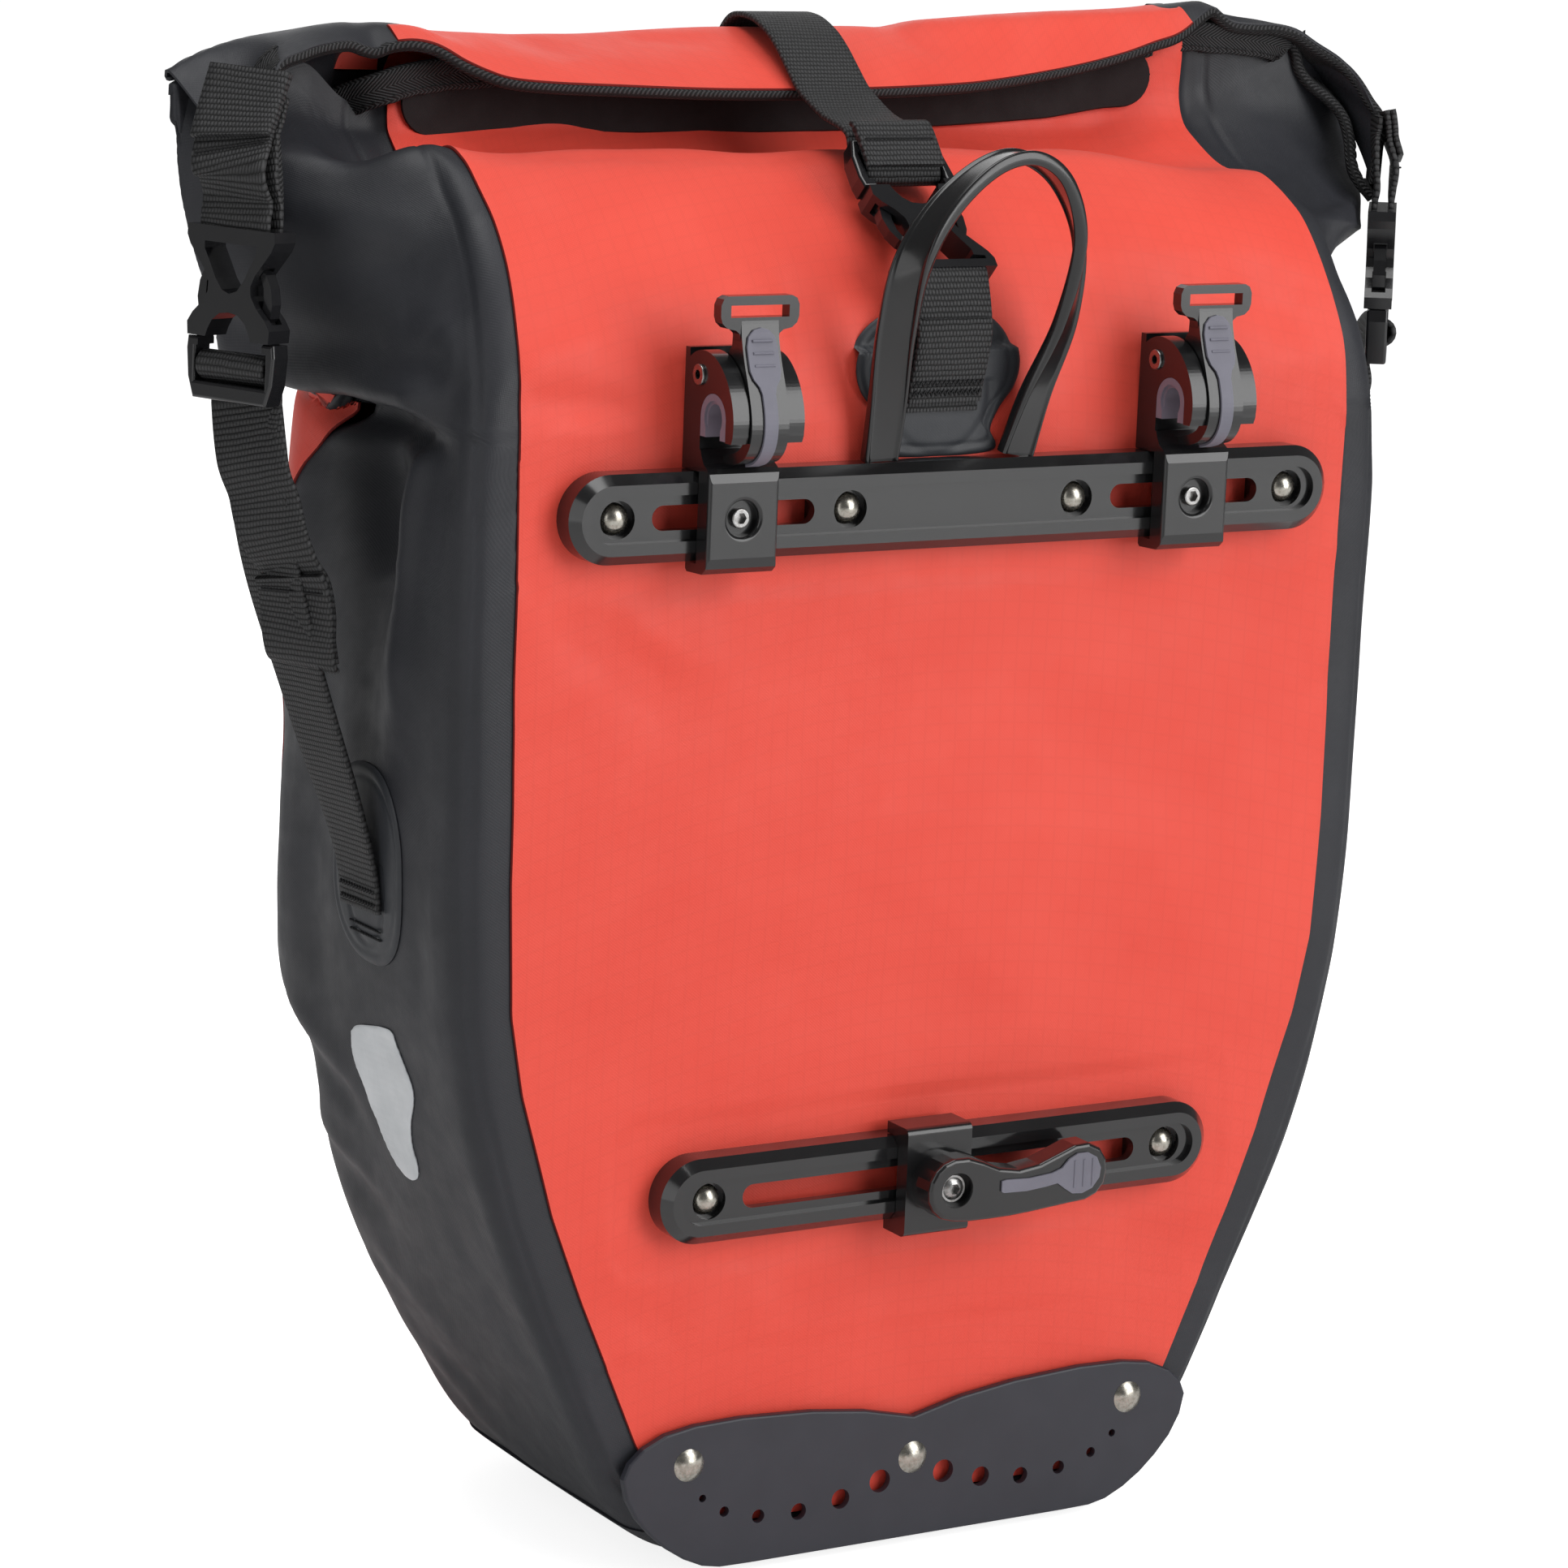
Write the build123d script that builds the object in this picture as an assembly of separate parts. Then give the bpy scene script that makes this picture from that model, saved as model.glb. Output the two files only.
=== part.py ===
from build123d import *
import math
import os

# Pannier bag with a folded roll-top mouth, two sliding rack hooks, a swivelling lower hook and
# three buckled straps.
# Working frame: x across the bag, +x to the right when facing the rack-side wall, y from the
# rack-side ("back") wall (y = 0) into the bag, z up from the underside. save() moves every piece
# in y, so that the origin is the centre of the face the bag stands on.

# ---------------------------------------------------------------- driving dimensions (mm)
WALL = 1.2                 # coated fabric with its lining
BOARD = 1.8                # stiffening boards
BOARD_START = WALL + 0.3   # boards lie just inside the fabric
BOARD_END = BOARD_START + BOARD
GAP = 0.12                 # clearance between neighbouring fabric pieces
BASE_SEAM_Z = 14           # top of the base panel
MOUTH_Z = 415.0            # crease where the back folds over into the mouth
TOP_Z = 440.0              # top of the fabric loft

RAIL_T = 10.0              # rail thickness
RAIL_H = 25.6
RAIL_BACK = -0.1           # y of the rail face that lies on the wall
RAIL_Z = 320.6             # centre of the upper rail
RAIL_HALF = 130.0
SLOT_IN, SLOT_OUT = 50.9, 104.0
LOW_X, LOW_Z = 3.2, 118.7  # centre of the lower rail
LOW_HALF = 96.0
LOW_SLOT = 69.0            # half length of the lower rail's slot
SLOT_H = 7.2
CHAMFER = 2.8
RIM = 3.4

HOOKS = {"left": -79.0, "right": 76.0}  # hook centres in x
HOOK_W = 11.5              # half width of a hook
LEVER_W = 6.0              # half width of a lever
PIVOT_Y, PIVOT_Z = -9.0, 361.0
JAW_Y, JAW_Z = -17.0, 349.5
JAW_R = 4.1                # rack tube radius with the insert fitted
INSERT_R = 7.0
ARM_X, ARM_Z = -2.9, 118.4  # swivel axis of the lower hook
SCREW_BORE_R = 2.65
SHANK_R = 2.45             # screws and rail rivets
HEAD_GAP = 0.05            # between a screw head and its seat

WEB = 25.0                 # webbing width
WEB_T = 1.7
PATCH_T = 0.9

# (x, z) of the rivets, and the radii of their holes in the back wall
RAIL_RIVETS_UP = [(x, RAIL_Z) for x in (-115.0, -38.9, 38.9, 115.0)]
RAIL_RIVETS_LOW = [(LOW_X + x, LOW_Z) for x in (-80.3, 80.3)]
RAIL_RIVETS = RAIL_RIVETS_UP + RAIL_RIVETS_LOW
RAIL_RIVET_HOLE = 2.55
PLATE_RIVETS = [(-78.1, 36.8), (0.0, 28.3), (78.1, 36.8)]
PLATE_RIVET_HOLE = 2.05

ACROSS = (1, 0, 0)
INWARD = (0, 1, 0)         # into the bag
TO_RACK = (0, -1, 0)
UP = (0, 0, 1)

# Sections of the fabric shell:
# z, half width, back y, front y, front corner radius, ear length, ear y
SECTIONS = [
    (0.0, 62, 8.0, 98, 30, 0, 70),
    (5.0, 76, 4.0, 108, 36, 0, 70),
    (12.0, 88, 1.5, 118, 40, 0, 70),
    (24.0, 99, 0.4, 128, 44, 0, 70),
    (45.0, 110, 0, 139, 46, 0, 70),
    (70.0, 124, 0, 147, 50, 0, 70),
    (97.0, 136, 0, 153, 50, 0, 70),
    (136.0, 149, 0, 160, 54, 0, 70),
    (175.0, 155, 0, 165, 60, 0, 70),
    (252.0, 158, 0, 166, 62, 0, 72),
    (291.0, 159.5, 0, 161, 62, 0, 74),
    (325.0, 159, 0, 155, 56, 0, 82),
    (340.0, 157.5, 0, 151.5, 50, 3, 92),
    (352.0, 156, 0.3, 148, 44, 12, 96),
    (372.0, 152, 3.2, 141, 34, 32, 99),
    (392.0, 148, 14.5, 133, 20, 52, 100),
    (404.0, 145.5, 27.0, 128.5, 12, 60, 100),
    (MOUTH_Z, 143.5, 49.0, 125, 8, 63, 100),
    (428.0, 142, 76.0, 119, 7, 64, 101),
    (TOP_Z, 141, 90.0, 113, 5, 64, 101),
]
STAND_Y = (SECTIONS[0][2] + SECTIONS[0][3]) / 2  # centre of the underside

os.makedirs("parts", exist_ok=True)


# ---------------------------------------------------------------- helpers
def save(name, shape):
    export_step(Pos(0, -STAND_Y, 0) * shape, "parts/" + name + ".step")


def polygon(pts):
    return Wire.make_polygon([Vector(*p) for p in pts], close=True)


def prism_x(pts, x_start, x_end):
    """Prism along x on a (y, z) outline."""
    base = Face(polygon([(x_start, y, z) for y, z in pts]))
    return Solid.extrude(base, Vector(x_end - x_start, 0, 0))


def prism_y(pts, y_start, y_end):
    """Prism along y on an (x, z) outline."""
    base = Face(polygon([(x, y_start, z) for x, z in pts]))
    return Solid.extrude(base, Vector(0, y_end - y_start, 0))


def prism_z(pts, z_start, z_end):
    """Prism along z on an (x, y) outline."""
    base = Face(polygon([(x, y, z_start) for x, y in pts]))
    return Solid.extrude(base, Vector(0, 0, z_end - z_start))


def box(x_min, x_max, y_min, y_max, z_min, z_max):
    centre = Pos((x_min + x_max) / 2, (y_min + y_max) / 2, (z_min + z_max) / 2)
    return centre * Box(x_max - x_min, y_max - y_min, z_max - z_min)


def cyl(start, direction, radius, length):
    return Solid.make_cylinder(radius, length, Plane(origin=start, z_dir=direction))


def cross_bore(x, y, z, radius):
    """Cutter along x, long enough to pass through a hook centred on x."""
    return cyl((x - 20, y, z), ACROSS, radius, 40)


def wall_bore(x, z, radius):
    """Cutter along y through the back wall and its board."""
    return cyl((x, -5, z), INWARD, radius, 12)


def rack_plane(y):
    """Sketch plane whose local x is X, local y is Z, and which extrudes towards the rack."""
    return Plane(origin=(0, y, 0), x_dir=ACROSS, z_dir=TO_RACK)


def stadium(x, z, half, height, y_min, y_max):
    """Round-ended bar of overall length 2*half along x."""
    sketch = rack_plane(y_max) * Pos(x, z) * SlotOverall(2 * half, height)
    return extrude(sketch, amount=y_max - y_min)


def hex_socket(x, y, z):
    """Cutter for a hexagon socket with its floor at y."""
    return extrude(rack_plane(y) * Pos(x, z) * RegularPolygon(1.75, 6), amount=6)


def nut_plate(x, z_plate, z_hole):
    plate = box(x - 5.5, x + 5.5, -4.7, -1.2, z_plate - 7.2, z_plate + 7.2)
    return one(plate - cyl((x, -8, z_hole), INWARD, 2.5, 12))


def one(shape):
    """Largest solid of a boolean result."""
    return sorted(shape.solids(), key=lambda solid: solid.volume)[-1]


def group(shapes):
    return Compound(children=[solid for shape in shapes for solid in shape.solids()])


def round_edges(body, radius, chosen):
    """Fillet the chosen edges."""
    # guards against a fillet the kernel cannot build: the edges then stay sharp
    try:
        return one(fillet([e for e in body.edges() if chosen(e)], radius))
    except Exception:
        return body


def mirrored(pts, first=0, last=None):
    """pts, followed by pts[first:last] mirrored in the second axis, in reverse order."""
    return pts + [(-x, y) for x, y in reversed(pts[first:last])]


def moved_points(pts, x_shift, z_shift=0):
    return [(x_shift + x, z_shift + z) for x, z in pts]


def catmull_rom(before, start, end, after, t):
    """Point or coordinate at t (0 to 1) between start and end."""
    return (start * 2 + (end - before) * t
            + (before * 2 - start * 5 + end * 4 - after) * t * t
            + (start * 3 - before - end * 3 + after) * t * t * t) * 0.5


def eased(pts, first, last, steps=5):
    """Polygon with a smooth curve through pts[first..last] in place of its corners."""
    def beyond(end, neighbour):
        return tuple(2 * a - b for a, b in zip(end, neighbour))

    curve = pts[first:last + 1]
    run = [beyond(curve[0], curve[1])] + curve + [beyond(curve[-1], curve[-2])]
    out = list(pts[:first])
    for k in range(len(curve) - 1):
        for i in range(steps):
            out.append(tuple(round(catmull_rom(*values, i / steps), 4)
                             for values in zip(*run[k:k + 4])))
    return out + list(pts[last:])


def smooth_curve(pts, count):
    """count points, as vectors, on a smooth curve through pts."""
    run = [Vector(*p) for p in pts]
    run = [run[0] + (run[0] - run[1])] + run + [run[-1] + (run[-1] - run[-2])]
    spans = len(run) - 3
    out = []
    for i in range(count):
        place = i / (count - 1) * spans
        k = min(int(place), spans - 1)
        out.append(catmull_rom(*run[k:k + 4], place - k))
    return out


def ribbon(pts, width_dirs, width, thick, count):
    """Flat band through pts; width_dirs are the width directions at those points."""
    centres = smooth_curve(pts, count)
    widths = smooth_curve(width_dirs, count)
    wires = []
    for i, centre in enumerate(centres):
        tangent = (centres[min(i + 1, count - 1)] - centres[max(i - 1, 0)]).normalized()
        across = widths[i] - tangent * widths[i].dot(tangent)
        across = across.normalized()
        normal = tangent.cross(across).normalized()
        side, rise = across * (width / 2), normal * (thick / 2)
        corners = [centre + side + rise, centre - side + rise,
                   centre - side - rise, centre + side - rise]
        wires.append(Wire.make_polygon(corners, close=True))
    return Solid.make_loft(wires, True)


# ---------------------------------------------------------------- fabric shell
BACK_CORNER_R = 7.0

# seam of the back panel: z, half width
SEAM = [(BASE_SEAM_Z, 60), (20, 74), (30, 85), (44, 94), (65, 103), (117, 124), (154, 135),
        (178, 139.5), (217, 141), (272, 141.5), (307, 141.5), (339, 142), (364, 141),
        (382, 139.5), (404, 137), (MOUTH_Z, 135)]


def unit_normal(start, end):
    dx, dy = end[0] - start[0], end[1] - start[1]
    length = math.hypot(dx, dy)
    return -dy / length, dx / length


def inset_outline(pts, inset):
    """Outline moved inwards, mitred so that every wall keeps its thickness."""
    out = []
    for i, (x, y) in enumerate(pts):
        before = unit_normal(pts[i - 1], pts[i])
        after = unit_normal(pts[i], pts[(i + 1) % len(pts)])
        nx, ny = before[0] + after[0], before[1] + after[1]
        length = math.hypot(nx, ny)
        nx, ny = nx / length, ny / length
        mitre = max(0.45, abs(nx * after[0] + ny * after[1]))
        out.append((x + nx * inset / mitre, y + ny * inset / mitre))
    return out


def section_wire(row, inset=0.0):
    z, width, back, front, front_r, ear, ear_y = row
    y_low, y_high = back + BACK_CORNER_R, front - front_r
    half = [[(width - BACK_CORNER_R) * k / 3, back] for k in range(4)]
    for k in range(1, 4):
        angle = math.radians(90 * k / 4)
        half.append([width - BACK_CORNER_R + BACK_CORNER_R * math.sin(angle),
                     back + BACK_CORNER_R - BACK_CORNER_R * math.cos(angle)])
    half += [[width, y_low + (y_high - y_low) * k / 8] for k in range(9)]
    for k in range(1, 6):
        angle = math.radians(90 * k / 6)
        half.append([width - front_r + front_r * math.cos(angle),
                     y_high + front_r * math.sin(angle)])
    half += [[(width - front_r) * (1 - k / 3), front] for k in range(4)]
    # the ear of the flattened mouth pulls the side out to a point at ear_y
    for p in half:
        if p[0] > width * 0.75:
            span = (ear_y - back) if p[1] < ear_y else (front - ear_y)
            p[0] += ear * (1 - abs(p[1] - ear_y) / span)
    pts = mirrored(half, 1, -1)
    if inset:
        pts = inset_outline(pts, inset)
    return polygon([(x, y, z) for x, y in pts])


def fabric_shell():
    outer = Solid.make_loft([section_wire(row) for row in SECTIONS], True)
    inner_rows = ([(WALL,) + SECTIONS[0][1:]] + SECTIONS[1:-1]
                  + [(TOP_Z - WALL,) + SECTIONS[-1][1:]])
    inner = Solid.make_loft([section_wire(row, WALL) for row in inner_rows], True)
    return outer - inner


# The shell is cut into panels by regions. Each region is made twice: at its true size for the
# panel, and grown by GAP for what is taken off the gussets.
REGION_TOP = 470
FRONT_STEP_Z = 344         # above this the front panel is limited in width
FRONT_TOP_HALF = 148


def slab(z_min, z_max, half=300):
    return box(-half, half, -20, 260, z_min, z_max)


def front_region(grow, top):
    # (y, z) edge of the front panel in side view
    zone = prism_x([(138 - grow, BASE_SEAM_Z - grow), (138 - grow, 300), (126 - grow, 345),
                    (116 - grow, 372), (108 - grow, 395), (108 - grow, MOUTH_Z + 1),
                    (260, MOUTH_Z + 1), (260, BASE_SEAM_Z - grow)], -300, 300)
    return zone & (slab(FRONT_STEP_Z, top, FRONT_TOP_HALF + grow)
                   + slab(0, FRONT_STEP_Z + 0.01 + grow))


def back_region(grow, top):
    outline = [(half + grow, z) for z, half in SEAM]
    outline[0] = (outline[0][0], BASE_SEAM_Z - grow)
    outline[-1] = (outline[-1][0], top)
    return prism_y(mirrored(outline), -10, 62)


def back_stiffener():
    board = prism_y([(-108, 62), (108, 62), (130, 150), (132, 338), (124, 349), (-124, 349),
                     (-132, 338), (-130, 150)], BOARD_START, BOARD_END)
    for x, z in RAIL_RIVETS:
        board = board - wall_bore(x, z, RAIL_RIVET_HOLE)
    return one(board)


shell = fabric_shell()
save("base_panel", one(shell & slab(-5, BASE_SEAM_Z - GAP)))
above_base = shell - slab(-5, BASE_SEAM_Z)
save("front_panel", one(above_base & front_region(0, MOUTH_Z)))

back_panel = one(above_base & back_region(0, MOUTH_Z))
for x, z in RAIL_RIVETS:
    back_panel = back_panel - wall_bore(x, z, RAIL_RIVET_HOLE)
for x, z in PLATE_RIVETS:
    back_panel = back_panel - wall_bore(x, z, PLATE_RIVET_HOLE)
save("back_panel", one(back_panel))

sides = (above_base - back_region(GAP, MOUTH_Z + 60) - front_region(GAP, REGION_TOP)
         - slab(MOUTH_Z, REGION_TOP, 150))
save("gusset_left", one(sides & box(-300, -20, -20, 260, -5, REGION_TOP)))
save("gusset_right", one(sides & box(20, 300, -20, 260, -5, REGION_TOP)))

save("back_stiffener", back_stiffener())
save("base_stiffener", one(prism_z([(-50, 14), (50, 14), (56, 20), (56, 68), (40, 88), (-40, 88),
                                    (-56, 68), (-56, 20)], BOARD_START, BOARD_END)))

# ---------------------------------------------------------------- folded mouth
# (y, z) of the outer side of each flap
FRONT_FLAP = [(124.6, MOUTH_Z + 0.6), (121.8, 428), (117, 439), (110, 446.6), (101, 449.6),
              (92, 447.8), (84.5, 443), (78.5, 437.6), (71.0, 430.1)]
BACK_FLAP = [(97.4, 444.2), (97.2, 436), (96.2, 427), (93.6, 420.6), (87.5, 417.8), (75, 417.2),
             (62, 417.6), (56, 417.3), (52.4, MOUTH_Z + 1.3)]
FLAP_HALF = 149
MOUTH_BOARD_HALF = 116
TAPE_T = 0.8
TAPE_REACH = 0.6           # from the sheet's end to the inside of the tape's fold


def sheet(pts):
    """Closed (y, z) outline of fabric under the polyline pts."""
    under = []
    for i, (y, z) in enumerate(pts):
        before, after = pts[max(i - 1, 0)], pts[min(i + 1, len(pts) - 1)]
        ny, nz = unit_normal(before, after)
        under.append((y + ny * WALL, z + nz * WALL))
    return pts + under[::-1]


def edge_tape(end, before, depth, side):
    """Outline of a tape folded over the end of a sheet whose outer side runs from before to end.

    side (1 or -1) turns the tape towards the sheet's inner side.
    """
    dy, dz = end[0] - before[0], end[1] - before[1]
    length = math.hypot(dy, dz)
    dy, dz = dy / length, dz / length
    ny, nz = -dz * side, dy * side
    outer, inner = -GAP, WALL + GAP
    fold = TAPE_REACH + TAPE_T
    # distance past the end, distance inwards
    pts = [(-depth, outer - TAPE_T), (fold, outer - TAPE_T), (fold, inner + TAPE_T),
           (-depth, inner + TAPE_T), (-depth, inner), (TAPE_REACH, inner), (TAPE_REACH, outer),
           (-depth, outer)]
    return [(end[0] + a * dy + b * ny, end[1] + a * dz + b * nz) for a, b in pts]


save("mouth_front_flap", prism_x(sheet(FRONT_FLAP), -FLAP_HALF, FLAP_HALF))
save("mouth_back_flap", prism_x(sheet(BACK_FLAP), -FLAP_HALF, FLAP_HALF))
save("mouth_stiffener_back",
     prism_x([(91.2, 420.6), (93.9, 426.9), (94.8, 432.6), (96.4, 432.4), (95.6, 427.2),
              (92.9, 420.6)], -MOUTH_BOARD_HALF, MOUTH_BOARD_HALF))
save("mouth_stiffener_front",
     prism_x([(90.4, 444.9), (84.9, 441.3), (85.7, 440.1), (91.2, 443.7)],
             -MOUTH_BOARD_HALF, MOUTH_BOARD_HALF))
save("mouth_binding_front",
     prism_x(edge_tape(FRONT_FLAP[-1], FRONT_FLAP[-2], depth=8.5, side=1), -190, 190))
save("mouth_binding_back",
     prism_x(edge_tape(BACK_FLAP[0], BACK_FLAP[1], depth=7.0, side=-1), -148, 148))

# ---------------------------------------------------------------- rails
RIVET_SEAT = 4.5           # depth of the rivet heads' seats below the rail's outer face


def rail(center_x, center_z, half, slots, rivets):
    """Bevelled bar with a shallow channel on its rack side, slots and rivet holes.

    The screws' nut plates run in a wide channel behind each slot.
    """
    outer = -RAIL_T
    body = stadium(center_x, center_z, half, RAIL_H, outer, RAIL_BACK)
    edges = [e for e in body.edges() if abs(e.center().Y - outer) < 1e-3]
    body = chamfer(edges, CHAMFER)
    inset = CHAMFER + RIM
    body = body - stadium(center_x, center_z, half - inset, RAIL_H - 2 * inset,
                          outer - 1, outer + 1.8)
    for start, end in slots:
        body = body - stadium((start + end) / 2, center_z, (end - start) / 2, SLOT_H,
                              outer - 1, 1)
        body = body - box(start - 1.5, end + 1.5, RAIL_BACK - 4.9, 1,
                          center_z - 7.6, center_z + 7.6)
    for x, z in rivets:
        body = body - cyl((x, outer + RIVET_SEAT + 0.1, z), TO_RACK, 5.5, 12)
        body = body - cyl((x, 2, z), TO_RACK, 2.6, 12)
    return one(body)


def domed_rivet(x, z, seat_y, head_r, head_h, shank_r, end_y):
    """Dome towards the rack, shank into the bag."""
    ball_r = (head_r ** 2 + head_h ** 2) / (2 * head_h)
    ball = Pos(x, seat_y - head_h + ball_r, z) * Sphere(ball_r)
    dome = ball & box(x - 20, x + 20, seat_y - 20, seat_y, z - 20, z + 20)
    return one(dome + cyl((x, seat_y - 0.01, z), INWARD, shank_r, end_y - seat_y))


def washer(x, z):
    disc = cyl((x, BOARD_END + 0.05, z), INWARD, 6.0, 1.0)
    return disc - cyl((x, 0, z), INWARD, RAIL_RIVET_HOLE, 12)


save("upper_rail", rail(0, RAIL_Z, RAIL_HALF, [(-SLOT_OUT, -SLOT_IN), (SLOT_IN, SLOT_OUT)],
                        RAIL_RIVETS_UP))
save("lower_rail", rail(LOW_X, LOW_Z, LOW_HALF, [(LOW_X - LOW_SLOT, LOW_X + LOW_SLOT)],
                        RAIL_RIVETS_LOW))
save("rail_rivets", group(
    domed_rivet(x, z, seat_y=-RAIL_T + RIVET_SEAT, head_r=4.7, head_h=3.4, shank_r=SHANK_R,
                end_y=4.6)
    for x, z in RAIL_RIVETS))
save("rail_rivet_washers", group(washer(x, z) for x, z in RAIL_RIVETS))

# ---------------------------------------------------------------- scuff plate
PLATE_INNER = -1.6         # y of the face towards the bag
PLATE_OUTER = PLATE_INNER - 2.4
# (x, z) of the right half, from the top centre round to the bottom centre
PLATE_HALF = [(0, 41.2), (6, 42.6), (17, 45.2), (36, 47.7), (60, 49), (76, 48.6), (86, 47.0),
              (93.5, 43.6), (98, 39.6), (100, 35), (98.6, 28.5), (95, 22), (90, 16.3),
              (84.5, 11.4), (78.5, 7.4), (72, 4.4), (66, 3.2), (56, 3.0), (30, 3.0), (0, 3.0)]
# x, z, radius of the round holes on each side
PLATE_HOLES = [(11.3, 22.3, 3.6), (25.0, 18.6, 3.1), (39.6, 16.8, 2.6), (53.6, 17.4, 2.1),
               (65.4, 20.6, 1.6), (73.0, 25.8, 1.2)]


def base_plate():
    plate = prism_y(mirrored(PLATE_HALF, 1, -1), PLATE_OUTER, PLATE_INNER)
    holes = [(side * x, z, radius) for x, z, radius in PLATE_HOLES for side in (-1, 1)]
    for x, z, radius in holes + [(x, z, PLATE_RIVET_HOLE) for x, z in PLATE_RIVETS]:
        plate = plate - cyl((x, -10, z), INWARD, radius, 20)
    return round_edges(one(plate), 0.8, lambda e: abs(e.center().Y - PLATE_OUTER) < 1e-3
                       and e.geom_type == GeomType.LINE)


save("base_plate", base_plate())
save("base_plate_rivets", group(
    domed_rivet(x, z, seat_y=PLATE_OUTER - 0.05, head_r=5.0, head_h=1.9, shank_r=1.95, end_y=3.4)
    for x, z in PLATE_RIVETS))

# ---------------------------------------------------------------- upper hooks
# (y, z) outline of the bracket: back plate, cheeks and rail clamp
CHEEK = [(-0.4, 333.6), (-0.4, 368.0), (-2.9, 368.0), (-2.9, 365.4), (-5.5, 366.9), (-9, 367.9),
         (-13, 367.8), (-17.5, 366.4), (-21.5, 363.6), (-24.8, 359.8), (-27.2, 355.2),
         (-28.4, 350.2), (-28.2, 345.6), (-27.4, 343.6), (-24.15, 343.6), (-9.85, 343.6),
         (-10.2, 341), (-11.2, 338.2), (-12.6, 336), (-14.6, 334.9), (-15.9, 333.6),
         (-16.4, 331), (-16.4, 309.5), (-15.6, 306.6), (-13.6, 304.9), (-5.0, 304.6),
         (-4.2, 305.4), (-4.2, 307.55), (-10.2, 307.55), (-10.2, 333.6)]
CLAMP_OUTER = -16.4        # y of the clamp's rack-side face
CLAMP_SEAT = -13.4         # y of the clamp screw's seat
# (y, z) slot between the cheeks for the lever
CHEEK_SLOT = [(-40, 343.4), (-40, 375), (-3.0, 375), (-3.0, 353.5), (-9.3, 351.5), (-9.3, 343.4)]
# (y, z) sides of the lever: rack side downwards, then bag side upwards round the hub
LEVER_OUT = [(-17.3, 384), (-21.0, 384), (-21.6, 374), (-23.6, 366.5), (-26.6, 359),
             (-28.9, 352), (-29.3, 346.5), (-27.8, 341.8), (-24.4, 338.4), (-19.6, 336.7),
             (-14.2, 336.6)]
LEVER_IN = [(-14.0, 338.5), (-19.0, 339.7), (-22.6, 341.3), (-24.5, 343.4), (-25.0, 346.0),
            (-25.1, 350.4), (-23.6, 355.4), (-20.6, 358.4), (-15.5, 358.2), (-12.2, 357.2),
            (-9.0, 356.6), (-5.9, 357.9), (-4.6, 361.0), (-5.9, 364.1), (-9.0, 365.4),
            (-13.6, 366.2), (-16.6, 370.0)]
LEVER_CURVE = eased(LEVER_OUT, 1, 9, 4)
# (x, z) of the left half of the T handle, from the hook's centre
TEE_HALF = [(-6.0, 371.5), (-6.4, 373.6), (-7.6, 374.6), (-10.4, 375.2), (-12.0, 376.6),
            (-12.6, 378.4), (-12.6, 381.6), (-11.8, 383.4), (-10.2, 384.2)]
# (x, z) of the right half of the grip
GRIP_HALF = [(0, 375.4), (2.4, 374.8), (4.2, 372.9), (4.9, 370.0), (4.9, 363.6), (4.2, 361.4),
             (2.7, 359.4), (2.1, 357.4), (2.1, 336)]
RIDGE_Z = (365.0, 368.4, 371.8)
RIDGE_R = 0.42
RIDGE_LINE = [(359, -26.6), (366.5, -23.6), (376, -21.45)]  # z, y of the lever's rack side


def hook_bracket(hook_x):
    body = prism_x(eased(CHEEK, 3, 12), hook_x - HOOK_W, hook_x + HOOK_W)
    seat_r = INSERT_R + 0.1
    body = body - (cross_bore(hook_x, JAW_Y, JAW_Z, seat_r)
                   + box(hook_x - 20, hook_x + 20, JAW_Y - seat_r, JAW_Y + seat_r, 340, JAW_Z))
    slot_half = LEVER_W + 0.35
    body = body - prism_x(CHEEK_SLOT, hook_x - slot_half, hook_x + slot_half)
    # window in the back plate, leaving a bar along the upper edge
    body = body - box(hook_x - 9.4, hook_x + 9.4, -3.0, 2, 360.6, 364.4)
    body = body - cross_bore(hook_x, PIVOT_Y, PIVOT_Z, 2.16)
    body = body - cyl((hook_x, -30, RAIL_Z), INWARD, SCREW_BORE_R, 40)
    body = body - cyl((hook_x, CLAMP_SEAT, RAIL_Z), TO_RACK, 5.2, 10)
    body = one(body)
    # upright edges of the clamp
    body = round_edges(body, 1.2, lambda e: abs(e.center().Y - CLAMP_OUTER) < 0.05
                       and abs(e.center().Z - RAIL_Z) < 8 and e.length > 15)
    # curved rims of the cheeks
    return round_edges(body, 0.7, lambda e: abs(abs(e.center().X - hook_x) - HOOK_W) < 1e-3
                       and e.center().Y < -20 and e.center().Z > 345 and e.length > 2)


def hook_insert(hook_x):
    """Inverted U that cushions the rack tube, recessed at both ends."""
    left, right = hook_x - HOOK_W, hook_x + HOOK_W
    body = cyl((left, JAW_Y, JAW_Z), ACROSS, INSERT_R, 2 * HOOK_W)
    body = body + box(left, right, JAW_Y - INSERT_R, JAW_Y + INSERT_R, 343.9, JAW_Z)
    body = body - cross_bore(hook_x, JAW_Y, JAW_Z, JAW_R)
    body = body - box(hook_x - 20, hook_x + 20, JAW_Y - JAW_R, JAW_Y + JAW_R, 340, JAW_Z)
    for start in (right - 0.8, left - 3.2):
        body = body - cyl((start, JAW_Y, JAW_Z), ACROSS, JAW_R + 0.9, 4)
    return one(body)


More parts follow.
